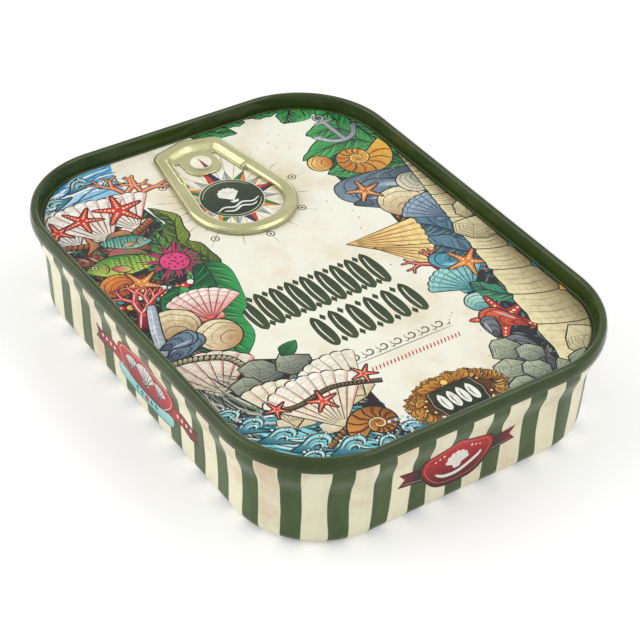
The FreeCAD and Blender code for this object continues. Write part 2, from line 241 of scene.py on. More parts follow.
def champagne_metal():
    """Pale gold metal of the ring pull, a little cloudy."""
    n = Nodes("champagne_metal")
    cloud = n.ramp(n.noise(160, 4.0, 0.6), 0.35, 0.7)
    colour = n.mix(cloud, linear("#b0ac82"), linear("#bcb890"))
    return n.finish(colour, 0.27, metallic=1.0)


def base_metal():
    """Bare pale gold lacquer under the tin."""
    n = Nodes("base_metal")
    drawn = n.noise(700, 3.0, 0.6, (1, 0.08, 1))
    colour = n.mix(n.ramp(drawn, 0.3, 0.7), linear("#c4bea8"), linear("#d0cbb8"))
    return n.finish(colour, n.ramp(drawn, 0.3, 0.7, 0.26, 0.36), metallic=1.0)


# ---------------------------------------------------------------- swept walls

CORNER_STEPS = 26
LONG_STEPS = 24
SHORT_STEPS = 16
WALL_INSET = 2.6


def stations():
    """Places once round the seam's outer edge from the middle of the near side, anticlockwise
    from above: (point, inward direction, run along the wall)."""
    half_x, half_y = HALF_WIDTH - CORNER, HALF_LENGTH - CORNER
    found, run = [], 0.0
    quarter = math.pi / 2 * (CORNER - WALL_INSET)
    sides = [
        (complex(0, -HALF_LENGTH), complex(half_x, -HALF_LENGTH), 1j),
        (complex(HALF_WIDTH, -half_y), complex(HALF_WIDTH, half_y), -1),
        (complex(half_x, HALF_LENGTH), complex(-half_x, HALF_LENGTH), -1j),
        (complex(-HALF_WIDTH, half_y), complex(-HALF_WIDTH, -half_y), 1),
        (complex(-half_x, -HALF_LENGTH), complex(0, -HALF_LENGTH), 1j),
    ]
    for number, (start, end, inward) in enumerate(sides):
        length = abs(end - start)
        steps = LONG_STEPS if number in (1, 3) else SHORT_STEPS // (1 if number == 2 else 2)
        for k in range(steps):
            found.append((start + (end - start) * k / steps, inward, run + length * k / steps))
        run += length
        if number == 4:
            break
        centre = end + inward * CORNER
        for k in range(CORNER_STEPS):
            turned = inward * cmath.exp(1j * math.pi / 2 * k / CORNER_STEPS)
            found.append((centre - turned * CORNER, turned, run + quarter * k / CORNER_STEPS))
        run += quarter
    return found, run


STATIONS, PERIMETER = stations()


def rounded(corners, steps=7):
    """A profile of (inset, height, radius) corners as points with outward directions."""
    places = [complex(i, h) for i, h, _ in corners]
    out = []
    for k, (here, (_, _, radius)) in enumerate(zip(places, corners)):
        before = here - places[k - 1] if k else None
        after = places[k + 1] - here if k + 1 < len(places) else None
        if before is None or after is None:
            way = (after or before) / abs(after or before)
            out.append((here, way * 1j))
            continue
        one, two = before / abs(before), after / abs(after)
        turn = cmath.phase(two / one)
        if not radius:
            out += [(here, one * 1j), (here, two * 1j)]
            continue
        reach = radius * math.tan(abs(turn) / 2)
        side = 1j if turn > 0 else -1j
        centre = here - one * reach + one * side * radius
        for j in range(steps + 1):
            way = one * cmath.exp(1j * turn * j / steps)
            out.append((centre - way * side * radius, way * 1j))
    return out


def build(name, points, faces, material, normals=None):
    """A mesh piece from millimetre points."""
    mesh = bpy.data.meshes.new(name)
    mesh.from_pydata([(x * MM, y * MM, z * MM) for x, y, z in points], [], faces)
    mesh.update()
    for polygon in mesh.polygons:
        polygon.use_smooth = True
    for one in material if isinstance(material, list) else [material]:
        mesh.materials.append(one)
    if normals is not None:
        mesh.normals_split_custom_set_from_vertices(normals)
    piece = bpy.data.objects.new(name, mesh)
    bpy.context.scene.collection.objects.link(piece)
    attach(piece, "root")
    return piece


# The bake's map holds a swept surface as strips beside each other, with gaps between them.
MAP_SLACK, MAP_WIDE, MAP_GAP = 1.06, 0.96, 0.01
MAP_FOOT, MAP_TALL = 0.04, 0.9


def swept(name, profile, material, cap_first=False, cap_last=False):
    """Sweeps a profile, listed outward and up, round the tin."""
    count, rows = len(STATIONS), len(profile)
    points, normals, faces, columns = [], [], [], []
    for point, inward, _ in STATIONS:
        for place, way in profile:
            at = point + inward * place.real
            points.append((at.real, at.imag, place.imag))
            level = inward * way.real
            normals.append((level.real, level.imag, way.imag))
    for k in range(count):
        on = (k + 1) % count
        for j in range(rows - 1):
            if abs(profile[j][0] - profile[j + 1][0]) < 1e-6:
                continue
            faces.append((k * rows + j, on * rows + j, on * rows + j + 1, k * rows + j + 1))
            columns.append((k, j))
    if cap_first:
        faces.append(tuple(k * rows for k in reversed(range(count))))
    if cap_last:
        faces.append(tuple(k * rows + rows - 1 for k in range(count)))
    piece = build(name, points, faces, material, normals)
    mesh = piece.data
    along = [run for _, _, run in STATIONS] + [PERIMETER]
    up = [0.0]
    for j in range(1, rows):
        up.append(up[-1] + abs(profile[j][0] - profile[j - 1][0]))
    stripe = mesh.attributes.new("stripe", "FLOAT", "CORNER")
    layer = mesh.uv_layers.new(name="OFBake")
    strips = max(1, round(math.sqrt(PERIMETER / up[-1])))
    wide = PERIMETER / strips
    for polygon, (k, j) in zip(mesh.polygons, columns):
        strip = min(int(along[k] / wide + 1e-6), strips - 1)
        for loop, (a, b) in zip(polygon.loop_indices, ((0, 0), (1, 0), (1, 1), (0, 1))):
            run = along[k + a]
            stripe.data[loop].value = (run + STRIPE_SHIFT) / PERIMETER * STRIPES
            u = (run - strip * wide) / (wide * MAP_SLACK) * MAP_WIDE + MAP_GAP
            v = (strip + MAP_FOOT + MAP_TALL * up[j + b] / up[-1]) / (strips + (1 if cap_first else 0))
            layer.data[loop].uv = (u, v)
    for polygon in mesh.polygons[len(columns):]:
        for loop in polygon.loop_indices:
            spot = mesh.vertices[mesh.loops[loop].vertex_index].co
            low = strips / (strips + 1)
            layer.data[loop].uv = (
                0.5 + spot.y / MM / HALF_LENGTH * 0.45,
                low + (1 - low) * (0.5 + spot.x / MM / HALF_WIDTH * 0.45),
            )
    return piece


# ---------------------------------------------------------------- drawing

CREAM = "#f3f2e2"
INK = "#222420"


def tone(first, second=None, start=0j, end=1j, drawn=1.0):
    """A paint: one colour, or a blend of two from one place to another."""
    return linear(first), linear(second or first), start, end, drawn


def smooth(points, steps=5, closed=True):
    """A soft curve through points."""
    count = len(points)
    out = []
    for k in range(count if closed else count - 1):
        if closed:
            a, b, c, d = (points[(k + m) % count] for m in (-1, 0, 1, 2))
        else:
            a, b, c, d = (points[min(max(k + m, 0), count - 1)] for m in (-1, 0, 1, 2))
        for j in range(steps):
            t = j / steps
            out.append(
                b + 0.5 * t * (c - a + t * (2 * a - 5 * b + 4 * c - d + t * (3 * (b - c) + d - a)))
            )
    return out if closed else out + [points[-1]]


def mirrored(half):
    """A half outline, listed from top to foot or back, with its mirror image."""
    return half + [-p.conjugate() for p in half[-2:0:-1]]


def laid(at, turn, points):
    """A motif's own points, turned and sized and put in its place."""
    return [at + turn * p for p in points]


def turned(angle, size=1.0):
    """The factor that turns by degrees and resizes."""
    return size * cmath.exp(1j * math.radians(angle))


def arc(centre, radius, start, end, steps=12):
    """Points along an arc, in degrees."""
    return [centre + turned(start + (end - start) * k / steps, radius) for k in range(steps + 1)]


def lies_within(spots, outline):
    """Whether places lie inside an outline."""
    hits = np.zeros(len(spots), bool)
    for one, two in zip(outline, outline[1:] + outline[:1]):
        if one.imag != two.imag:
            level = (one.imag > spots.imag) != (two.imag > spots.imag)
            slope = (two.real - one.real) / (two.imag - one.imag)
            hits ^= level & (spots.real < one.real + (spots.imag - one.imag) * slope)
    return hits


def circle(centre, radius, sides):
    """Points once round a centre."""
    return arc(centre, radius, 0, 360 - 360 / sides, sides - 1)


def crosses(outline):
    """Whether an outline's sides cross each other."""
    one = np.array(outline)
    way = np.roll(one, -1) - one
    gap = one[None, :] - one[:, None]
    turn = (way[:, None].conjugate() * way[None, :]).imag
    apart = np.abs(turn) > 1e-9
    turn = np.where(apart, turn, 1.0)
    along = (gap.conjugate() * way[None, :]).imag / turn
    other = (gap.conjugate() * way[:, None]).imag / turn
    met = apart & (along > 1e-6) & (along < 1 - 1e-6) & (other > 1e-6) & (other < 1 - 1e-6)
    return bool(met.any())


def seams_between(triangles, tops, count):
    """Edges where what shows changes: (from, to, shape on the left, shape on the right)."""
    starts = triangles.reshape(-1)
    ends = np.roll(triangles, -1, axis=1).reshape(-1)
    owner = np.repeat(tops, 3)
    key = np.minimum(starts, ends) * np.int64(count) + np.maximum(starts, ends)
    order = np.argsort(key, kind="stable")
    key, starts, ends, owner = key[order], starts[order], ends[order], owner[order]
    paired = np.zeros(len(key), bool)
    paired[:-1] = key[:-1] == key[1:]
    first = paired.copy()
    second = np.roll(paired, 1)
    second[0] = False
    alone = ~(first | second)
    one = np.nonzero(first & (owner != np.roll(owner, -1)))[0]
    two = np.nonzero(alone & (owner >= 0))[0]
    ends_ = np.concatenate([ends[one], ends[two]])
    starts_ = np.concatenate([starts[one], starts[two]])
    left = np.concatenate([owner[one], owner[two]])
    right = np.concatenate([owner[(one + 1) % len(owner)], np.full(len(two), -1)])
    return starts_, ends_, left, right


def straightened(place, starts, ends, left, right, slack=0.004):
    """The seams with needless points on straight runs left out."""
    sides = zip(starts.tolist(), ends.tolist(), left.tolist(), right.tolist())
    seams = {k: list(side) for k, side in enumerate(sides)}
    at = {}
    for k, (a, b, _, _) in seams.items():
        at.setdefault(a, []).append(k)
        at.setdefault(b, []).append(k)
    for spot in list(at):
        if len(at[spot]) != 2:
            continue
        one, two = at[spot]
        a, b = seams[one], seams[two]
        if a[1] != spot:
            a = [a[1], a[0], a[3], a[2]]
        if b[0] != spot:
            b = [b[1], b[0], b[3], b[2]]
        if a[2:] != b[2:] or a[0] == b[1]:
            continue
        span = place[b[1]] - place[a[0]]
        off = abs((span.conjugate() * (place[spot] - place[a[0]])).imag) / max(abs(span), 1e-9)
        ahead = ((place[b[1]] - place[spot]).conjugate() * (place[spot] - place[a[0]])).real
        if off > slack or ahead < 0:
            continue
        seams[one] = [a[0], b[1], a[2], a[3]]
        del seams[two]
        far = at[b[1]]
        far[far.index(two)] = one
        del at[spot]
    return [tuple(s) for s in seams.values()]


def spread_owners(found, points, edges, seams):
    """Which shape shows in each triangle of the second, lighter mesh."""
    spots, lines, triangles, origins = found[0], found[1], found[2], found[4]
    beside = {}
    for (a, b), parents in zip(lines, origins):
        for parent in parents:
            if parent < len(seams):
                start, end = edges[parent]
                same = (points[end] - points[start]).dot(spots[b] - spots[a]) > 0
                left, right = seams[parent][2:]
                beside[(a, b)], beside[(b, a)] = (left, right) if same else (right, left)
    around, owners = {}, [None] * len(triangles)
    for k, corners in enumerate(triangles):
        for m in range(3):
            side = (corners[m], corners[(m + 1) % 3])
            around[side] = k
            if side in beside:
                owners[k] = beside[side]
    waiting = [k for k, o in enumerate(owners) if o is not None]
    while waiting:
        k = waiting.pop()
        corners = triangles[k]
        for m in range(3):
            side = (corners[(m + 1) % 3], corners[m])
            if side in beside:
                continue
            on = around.get(side)
            if on is not None and owners[on] is None:
                owners[on] = owners[k]
                waiting.append(on)
    return [-1 if o is None else o for o in owners]


class Print:
    """Flat shapes laid over each other on a sheet, of which only what shows is kept.
    A paint is a tone or a plain colour."""

    def __init__(self, paper):
        self.points, self.faces, self.paints = [], [], []
        self.fill(paper, tone(CREAM, drawn=0.0))

    def fill(self, outline, paint):
        if len(outline) == 4:
            middle = sum(outline) / 4
            outline = sorted(outline, key=lambda p: cmath.phase(p - middle))
        elif len(outline) > 4 and crosses(outline):
            flat = [Vector((p.real, p.imag, 0)) for p in outline]
            for corners in tessellate_polygon([flat]):
                self.fill([outline[k] for k in corners], paint)
            return
        area = sum((b * a.conjugate()).imag for a, b in zip(outline, outline[1:] + outline[:1]))
        if abs(area) < 1e-4:
            return
        if area < 0:
            outline = outline[::-1]
        first = len(self.points)
        self.points += outline
        self.faces.append(list(range(first, first + len(outline))))
        self.paints.append(tone(paint) if isinstance(paint, str) else paint)

    def line(self, path, width, paint, ends=0.35):
        """A pen line, narrower at its ends."""
        count = len(path)
        if count < 2:
            return
        left, right = [], []
        for k, spot in enumerate(path):
            way = path[min(k + 1, count - 1)] - path[max(k - 1, 0)]
            way = way / abs(way) if abs(way) > 1e-9 else 1
            swell = math.sin(math.pi * k / (count - 1)) ** 0.5 if ends < 1 else 1
            half = width / 2 * (ends + (1 - ends) * swell) * 1j * way
            left.append(spot + half)
            right.append(spot - half)
        for k in range(count - 1):
            self.fill([left[k], right[k], right[k + 1], left[k + 1]], paint)

    def ring(self, outline, width, paint):
        """A closed pen line round a shape."""
        self.line(outline + outline[:2], width, paint, ends=1)

    def shape(self, outline, paint, pen):
        """A filled outline with an ink line round it."""
        self.fill(outline, paint)
        self.ring(outline, pen, INK)

    def dot(self, centre, radius, paint, pen=0.0, steps=9):
        """A round spot, with an ink line round it where a pen is given."""
        outline = circle(centre, radius, steps)
        if pen:
            self.shape(outline, paint, pen)
        else:
            self.fill(outline, paint)

    def top_shapes(self, place, triangles, owners):
        """The uppermost shape over each triangle, or -1 off the sheet."""
        boxes = []
        for face in self.faces:
            own = [self.points[k] for k in face]
            across, along = [p.real for p in own], [p.imag for p in own]
            boxes.append((min(across) - 0.01, max(across) + 0.01, min(along) - 0.01, max(along) + 0.01))
        middles = place[triangles].mean(axis=1)
        found = []
        for x, y, under in zip(middles.real.tolist(), middles.imag.tolist(), owners):
            top = -1
            if 0 in under:
                for number in under:
                    if number > top:
                        box = boxes[number]
                        if box[0] < x < box[1] and box[2] < y < box[3]:
                            top = number
            found.append(top)
        return np.array(found)

    def settle(self, loops=(), tidy=1e-4):
        """The sheet as triangles: points, corners, and the shape that shows in each."""
        points = [Vector((p.real, p.imag)) for p in self.points]
        found = delaunay_2d_cdt(points, [], self.faces, 1, tidy, True)
        spots, triangles = found[0], np.array(found[2])
        place = np.array([complex(p.x, p.y) for p in spots])
        tops = self.top_shapes(place, triangles, found[5])
        seams = straightened(place, *seams_between(triangles, tops, len(spots)))
        used = sorted({k for seam in seams for k in seam[:2]})
        number = {k: n for n, k in enumerate(used)}
        points = [spots[k] for k in used]
        edges = [(number[a], number[b]) for a, b, _, _ in seams]
        for loop in loops:
            first = len(points)
            points += [Vector((p.real, p.imag)) for p in loop]
            edges += [(first + k, first + (k + 1) % len(loop)) for k in range(len(loop))]
        found = delaunay_2d_cdt(points, edges, [], 0, tidy, True)
        owners = spread_owners(found, points, edges, seams)
        kept = [(t, o) for t, o in zip(found[2], owners) if o >= 0]
        return found[0], [t for t, _ in kept], [o for _, o in kept]

    def colour(self, mesh, owners, run=None):
        """Gives the mesh's corners their colours, with how much of each is drawn in alpha.
        The sheet lies level, or upright along a run."""
        first, second = (np.array([p[k] for p in self.paints]) for k in (0, 1))
        start, end = (np.array([p[k] for p in self.paints], complex) for k in (2, 3))
        drawn = np.array([p[4] for p in self.paints])
        loops = np.empty(len(mesh.loops), np.int64)
        mesh.loops.foreach_get("vertex_index", loops)
        spots = np.empty(len(mesh.vertices) * 3)
        mesh.vertices.foreach_get("co", spots)
        spots = spots.reshape(-1, 3) / MM
        totals = np.empty(len(mesh.polygons), np.int64)
        mesh.polygons.foreach_get("loop_total", totals)
        owner = np.repeat(np.array(owners), totals)
        x, y, z = spots[loops].T
        places = x + 1j * y if run is None else x * run.real + y * run.imag + 1j * z
        share = ((places - start[owner]) / (end - start)[owner]).real.clip(0, 1)[:, None]
        colours = first[owner] * (1 - share) + second[owner] * share
        layer = mesh.color_attributes.new("ink", "FLOAT_COLOR", "CORNER")
        layer.data.foreach_set("color", np.hstack([colours, drawn[owner][:, None]]).ravel())


# ---------------------------------------------------------------- motifs

def scallop(sheet, at, angle, size, light, dark, rib, ribs, spread):
    """A scallop shell, its hinge at the place and its fan along the angle."""
    turn = turned(angle, size)
    rim = []
    for k in range(ribs * 4 + 1):
        lean = math.radians(spread * (2 * k / (ribs * 4) - 1))
        bulge = 1 + 0.035 * abs(math.sin(math.pi * k / 4)) - 0.09 * (lean / 1.2) ** 4
        rim.append(at + turn * cmath.exp(1j * lean) * bulge)
    if spread > 30:
        ears = laid(at, turn, (0.2 + 0.26j, 0.02 + 0.27j, -0.03, 0.02 - 0.27j, 0.2 - 0.26j))
        sheet.shape(ears, tone(light, dark, at + turn * 0.3, at), 0.22)
    outline = [at] + rim
    sheet.shape(outline, tone(dark, light, at, at + turn * 0.85), 0.3)
    for k in range(ribs):
        one, two = rim[4 * k], rim[4 * k + 1]
        sheet.fill([at + (one - at) * 0.16, one, two], tone(rib, light, at, at + turn * 1.3))
        if k:
            sheet.line([at + (one - at) * f for f in (0.14, 0.5, 0.98)], 0.2, INK, 0.6)
    for far in (0.52, 0.76, 0.9):
        wave = [at + (p - at) * (far + 0.012 * (-1) ** k) for k, p in enumerate(rim[1:-1:2])]
        sheet.line(wave, 0.16, dark)


def mussel(sheet, at, angle, size, light, dark, flip=1):
    """A mussel, its beak at the place."""
    turn = turned(angle, size)

    def soft(points, steps):
        return laid(at, turn, smooth([p.real + 1j * flip * p.imag for p in points], steps))

    base = [0, 0.2 + 0.15j, 0.5 + 0.27j, 0.8 + 0.3j, 1 + 0.1j, 0.93 - 0.15j, 0.6 - 0.19j, 0.25 - 0.1j]
    outline = soft(base, 4)
    low, high = at + turn * (-0.1 - 0.25j * flip), at + turn * (1 + 0.4j * flip)
    sheet.shape(outline, tone(dark, light, low, high), 0.3)
    for k, far in enumerate((0.88, 0.74, 0.6, 0.46, 0.32)):
        grown = [at + (p - at) * far for p in outline[7:27]]
        sheet.line(grown, 0.2, light if k % 2 else "#0e121c", 0.3)
    shine = soft([0.3 + 0.12j, 0.55 + 0.2j, 0.78 + 0.2j, 0.6 + 0.13j], 3)
    sheet.fill(shine, tone("#cedee4", light, at, at + turn))


def starfish(sheet, at, angle, size, light, dark):
    """A five-armed starfish."""
    turn = turned(angle, size)
    base = []
    for k in range(5):
        arm = cmath.exp(2j * math.pi * k / 5)
        base += [arm * (0.36 - 0.17j), arm * (0.98 - 0.07j), arm * (0.98 + 0.07j), arm * (0.36 + 0.17j)]
    sheet.shape(laid(at, turn, smooth(base, 3)), tone(light, dark, at - turn, at + turn), 0.28)
    for k in range(5):
        arm = turn * cmath.exp(2j * math.pi * k / 5)
        for far in (0.22, 0.38, 0.54, 0.7, 0.84):
            sheet.dot(at + arm * far, size * (0.075 - 0.045 * far), "#fae2b2", steps=6)
        sheet.line([at + arm * f + arm * 0.1j * (1 - f) for f in (0.2, 0.6, 0.9)], 0.16, dark)


def coral(sheet, at, angle, size, light, dark, depth, seed):
    """A branching coral."""
    own = random.Random(seed)
    twigs = []

    def grow(spot, way, length, left):
        bend = own.uniform(-22, 22)
        path = [spot]
        for k in range(4):
            path.append(path[-1] + turned(way + bend * k / 3, length / 4))
        twigs.append((path, 0.32 + 0.34 * left))
        if left:
            for side in (-1, 1):
                lean = side * own.uniform(20, 42) + bend
                grow(path[-1], way + lean, length * own.uniform(0.66, 0.86), left - 1)

    grow(at, angle, size * 0.36, depth)
    for path, width in twigs:
        sheet.line(path, width + 0.42, INK, 0.9)
        sheet.dot(path[-1], (width + 0.42) / 2, INK, steps=7)
    for path, width in twigs:
        sheet.line(path, width, tone(dark, light, at, at + turned(angle, size * 1.3)), 0.9)
        sheet.dot(path[-1], width / 2, light, steps=7)
    for path, width in twigs:
        sheet.line([p + width * 0.16 * (1j - 0.6) for p in path], width * 0.22, "#fad6c8")


def frond(sheet, path, width, light, dark, veins=11, ruffle=0.12, waves=5):
    """A blade of weed or a leaf along a path, with a midrib and hatched veins."""
    spine = smooth(path, 7, closed=False)
    count = len(spine)
    left, right = [], []
    for k, spot in enumerate(spine):
        way = spine[min(k + 1, count - 1)] - spine[max(k - 1, 0)]
        way /= abs(way)
        far = k / (count - 1)
        half = width / 2 * (math.sin(math.pi * min(1, 0.06 + 0.97 * far)) ** 0.62)
        left.append(spot + 1j * way * half * (1 + ruffle * math.sin(waves * 2 * math.pi * far)))
        right.append(spot - 1j * way * half * (1 + ruffle * math.sin(waves * 2 * math.pi * far + 2)))
    sheet.shape(left + right[::-1], tone(dark, light, spine[0], spine[-1]), 0.3)
    sheet.fill(left + spine[::-1], tone(light, dark, left[count // 2], spine[count // 2]))
    for k in range(1, veins):
        place = int(k * (count - 1) / veins)
        root, beyond = spine[place], spine[min(place + 1, count - 1)]
        for edge, paint, fine in ((left, dark, "#96be78"), (right, light, INK)):
            out = edge[min(place + 3, count - 1)]
            near, tip = root + (out - root) * 0.94, beyond + (out - beyond) * 0.8
            vein = [root, (root + near) / 2 + 0.04 * (near - root) * 1j, near]
            sheet.line(vein, 0.2, INK if k % 3 == 0 else paint)
            sheet.line([beyond, (beyond + tip) / 2, tip], 0.15, fine)
    sheet.line(spine, 0.3, INK)


def fish(sheet, at, angle, size, back, belly, fin, flip=1):
    """A fish with rows of scales, its nose at the place and its tail along the angle."""
    turn = turned(angle, size)

    def put(points):
        return [at + turn * (p.real + 1j * flip * p.imag) for p in points]

    tail = smooth([0.72, 0.86 + 0.07j, 1.05 + 0.25j, 0.99, 1.05 - 0.25j, 0.86 - 0.07j], 3)
    sheet.shape(put(tail), tone(fin, back, *put([1.05, 0.75])), 0.28)
    for k in range(-3, 4):
        sheet.line(put([0.84 + 0.012j * k, 1.0 + 0.066j * k]), 0.15, INK)
    dorsal = smooth([0.28 + 0.17j, 0.4 + 0.33j, 0.62 + 0.27j, 0.72 + 0.1j, 0.5 + 0.12j], 3)
    sheet.shape(put(dorsal), tone(fin, back, *put([0.5 + 0.35j, 0.5 + 0.1j])), 0.26)
    for k in range(7):
        sheet.line(put([0.33 + 0.05 * k + 0.15j, 0.4 + 0.045 * k + (0.29 - 0.018 * k) * 1j]), 0.15, INK)
    body = smooth([0, 0.1 + 0.1j, 0.3 + 0.19j, 0.55 + 0.16j, 0.8 + 0.05j, 0.8 - 0.04j, 0.55 - 0.15j,
                   0.28 - 0.18j, 0.08 - 0.09j], 4)
    sheet.shape(put(body), tone(back, belly, *put([0.4 + 0.16j, 0.4 - 0.16j])), 0.3)
    for column in range(9):
        across = 0.3 + 0.055 * column
        tall = 0.15 * (1 - ((across - 0.42) / 0.5) ** 2)
        for row in range(-3, 4):
            up = tall * (row + (column % 2) * 0.5) / 3.4
            if abs(up) > tall * 0.95:
                continue
            scale = arc(complex(across, up), 0.034, -75, 75, 4)
            sheet.line(put(scale), 0.17, INK if column % 2 else back, 0.5)
            sheet.dot(put([complex(across + 0.012, up)])[0], size * 0.012, belly, steps=5)
    sheet.line(put(arc(complex(0.13, 0), 0.12, -62, 62, 7)), 0.28, INK)
    sheet.line(put(arc(complex(0.1, 0), 0.12, -50, 50, 7)), 0.2, fin)
    sheet.dot(put([0.1 + 0.035j])[0], size * 0.037, "#f2ecce", 0.22, 10)
    sheet.dot(put([0.1 + 0.035j])[0], size * 0.017, INK, steps=8)
    sheet.shape(put(smooth([0.27 - 0.02j, 0.42 - 0.01j, 0.48 - 0.1j, 0.36 - 0.12j], 3)),
                tone(fin, belly, *put([0.3, 0.5])), 0.22)


def cockle(sheet, at, radius, light, dark, angle):
    """A round ribbed shell seen from above."""
    turn = turned(angle, radius)
    base = [1, 0.72 + 0.74j, 1.02j * 0.98, -0.66 + 0.62j, -0.86, -0.66 - 0.62j, -1.0j, 0.72 - 0.74j]
    outline = laid(at, turn, smooth(base, 4))
    sheet.shape(outline, tone(dark, light, at - turn * 0.8, at + turn * 0.6), 0.28)
    beak = at - turn * 0.8
    for k in range(4):
        band = [beak + (p - beak) * (0.84 - 0.2 * k) for p in outline]
        sheet.line(band[-10:-3] + band[:8], 0.17, dark if k % 2 else INK)
    for k in range(-4, 5):
        sheet.line([beak, beak + turn * cmath.exp(0.19j * k) * (1.68 - 0.02 * k * k)], 0.14, dark, 0.4)


def nautilus(sheet, at, angle, radius, light, dark):
    """A banded spiral shell."""
    turn = turned(angle, radius)

    def coil(bends):
        return [turn * cmath.exp((0.17 + 1j) * bend) * 0.34 for bend in bends]

    whole_turn = np.linspace(0.0, 2 * math.pi * 1.02, 44)
    spiral, inner = coil(whole_turn), coil(whole_turn - 2 * math.pi)
    outline = laid(at, 1, spiral) + [at + spiral[0] * 1.08]
    sheet.shape(outline, tone(light, dark, at + turn, at - turn), 0.32)
    for k in range(3, 42, 3):
        one, two = inner[k], spiral[k]
        bow = (one + two) / 2 + (two - one) * 0.16j
        band = smooth([at + one, at + bow, at + two], 4, closed=False)
        sheet.line(band, 0.62 if k % 2 else 0.34, dark if k % 2 else INK, 0.3)
    whorl = laid(at, 1, coil(np.linspace(-3 * math.pi, 0.3, 46)))
    sheet.line(whorl, 0.36, INK, 0.2)
    sheet.line([at + (p - at) * 0.9 for p in whorl[8:]], 0.24, "#fae8aa", 0.2)


def auger(sheet, base, tip, width, light, dark, whorls):
    """A long pointed spiral shell from its mouth to its tip."""
    axis = tip - base
    cross = axis / abs(axis) * 1j
    edge = [0.0]
    for k in range(whorls):
        edge.append(edge[-1] + 0.86 ** k)
    edge = [e / edge[-1] for e in edge]
    for k in range(whorls):
        low, high = edge[k], edge[k + 1]
        one, two = width / 2 * (1.03 - low), width / 2 * (1.03 - high)
        slant = axis * 0.022 * (1 - low)
        here, there = base + axis * low, base + axis * high
        outline = smooth([
            here + cross * one * 0.94 + slant, (here + there) / 2 + cross * (one + two) / 2 * 1.06,
            there + cross * two * 0.95 + slant, there - cross * two * 0.95 - slant,
            (here + there) / 2 - cross * (one + two) / 2 * 1.06, here - cross * one * 0.94 - slant], 3)
        sheet.shape(outline, tone(light, dark, here + cross * one * 0.5, here - cross * one), 0.28)
        for f in (0.2, 0.42, 0.62, 0.82):
            at = here + (there - here) * f
            half = (one + (two - one) * f) * 0.94
            bow = slant * 0.8
            ridge = [at + cross * half + bow, at - (there - here) * 0.1, at - cross * half - bow]
            sheet.line(ridge, 0.16, dark if f != 0.42 else INK, 0.3)
        for j in range(-3, 4):
            near = here + cross * one * 0.26 * j
            sheet.line([near, near + (there - here) * 0.35], 0.15, INK if j < 0 else dark, 0.3)


def rock(sheet, at, radius, light, dark, seed):
    """A faceted stone with hatching."""
    own = random.Random(seed)
    outline = []
    for k in range(8):
        bearing = k * 45 + own.uniform(-12, 12)
        outline.append(at + turned(bearing, radius * own.uniform(0.78, 1.12)))
    sheet.shape(outline, tone(light, dark, at + radius * (1j - 0.6), at - radius * (1j - 0.6)), 0.3)
    top = at + turned(own.uniform(60, 130), radius * 0.25)
    for k in (0, 2, 3, 5, 7):
        sheet.line([top, outline[k]], 0.2, INK)
    for k in (3, 4, 5, 6):
        for f in (0.3, 0.5, 0.7, 0.88):
            one = top + (outline[k] - top) * f
            two = top + (outline[(k + 1) % 8] - top) * f
            sheet.line([one, (one + two) / 2, two], 0.15, dark if f < 0.6 else INK)


def breaker(sheet, at, angle, size, flip=1):
    """A curling wave with foam."""
    turn = turned(angle, size)

    def put(points):
        return [at + turn * (flip * p.real + 1j * p.imag) for p in points]

    crest = smooth([
        -1.1 - 0.35j, -0.7 + 0.1j, -0.2 + 0.62j, 0.42 + 0.66j, 0.62 + 0.3j, 0.42 + 0.1j,
        0.34 + 0.3j, 0.12 + 0.3j, 0.06 + 0.02j, 0.4 - 0.25j, 1.1 - 0.4j,
    ], 4)
    sheet.shape(put(crest), tone("#1e6c7e", "#96d6d6", *put([-0.3 - 0.4j, 0.1 + 0.7j])), 0.28)
    eye = -0.1 - 0.25j
    for k, paint in enumerate(("#d6f0ee", "#122c34", "#78ced6", "#ecf4f0", "#123038")):
        curl = [eye + (p - eye) * (0.84 - 0.15 * k) for p in crest[4:24]]
        sheet.line(put(curl), 0.3 if k % 2 == 0 else 0.22, paint, 0.2)
    for k in range(6):
        drop = complex(0.62 - 0.22 * k, 0.52 + 0.2 * math.sin(2.2 * k) * 0.5 + 0.1)
        sheet.dot(put([drop])[0], 0.18 + 0.08 * (k % 3), "#f0f6f4", 0.14, 7)


def rope(sheet, path, width, light, dark):
    """A twisted rope along a path."""
    spine = smooth(path, 6, closed=False)
    sheet.line(spine, width + 0.4, INK, 1)
    total = 0.0
    for one, two in zip(spine, spine[1:]):
        total += abs(two - one)
    count = int(total / (width * 0.62))
    for k in range(count):
        f = k / count * (len(spine) - 1)
        at = spine[int(f)] + (spine[min(int(f) + 1, len(spine) - 1)] - spine[int(f)]) * (f % 1)
        way = spine[min(int(f) + 1, len(spine) - 1)] - spine[int(f)]
        turn = way / (abs(way) or 1) * width
        strand = laid(at, turn, smooth([-0.42 - 0.36j, 0.1 - 0.5j, 0.42 + 0.36j, -0.1 + 0.5j], 2))
        sheet.shape(strand, tone(light, dark, at + turn * 0.5j, at - turn * 0.5j), 0.14)


def beads(sheet, path, radius, colours):
    """Small shells strung along a path."""
    spine = smooth(path, 4, closed=False)
    for k, at in enumerate(spine):
        colour = colours[k % len(colours)]
        sheet.dot(at, radius * (0.85 + 0.3 * ((k * 7) % 5) / 5), colour, 0.24, 8)
        sheet.dot(at + radius * (0.25j - 0.25), radius * 0.28, "#f8f0dc", steps=5)


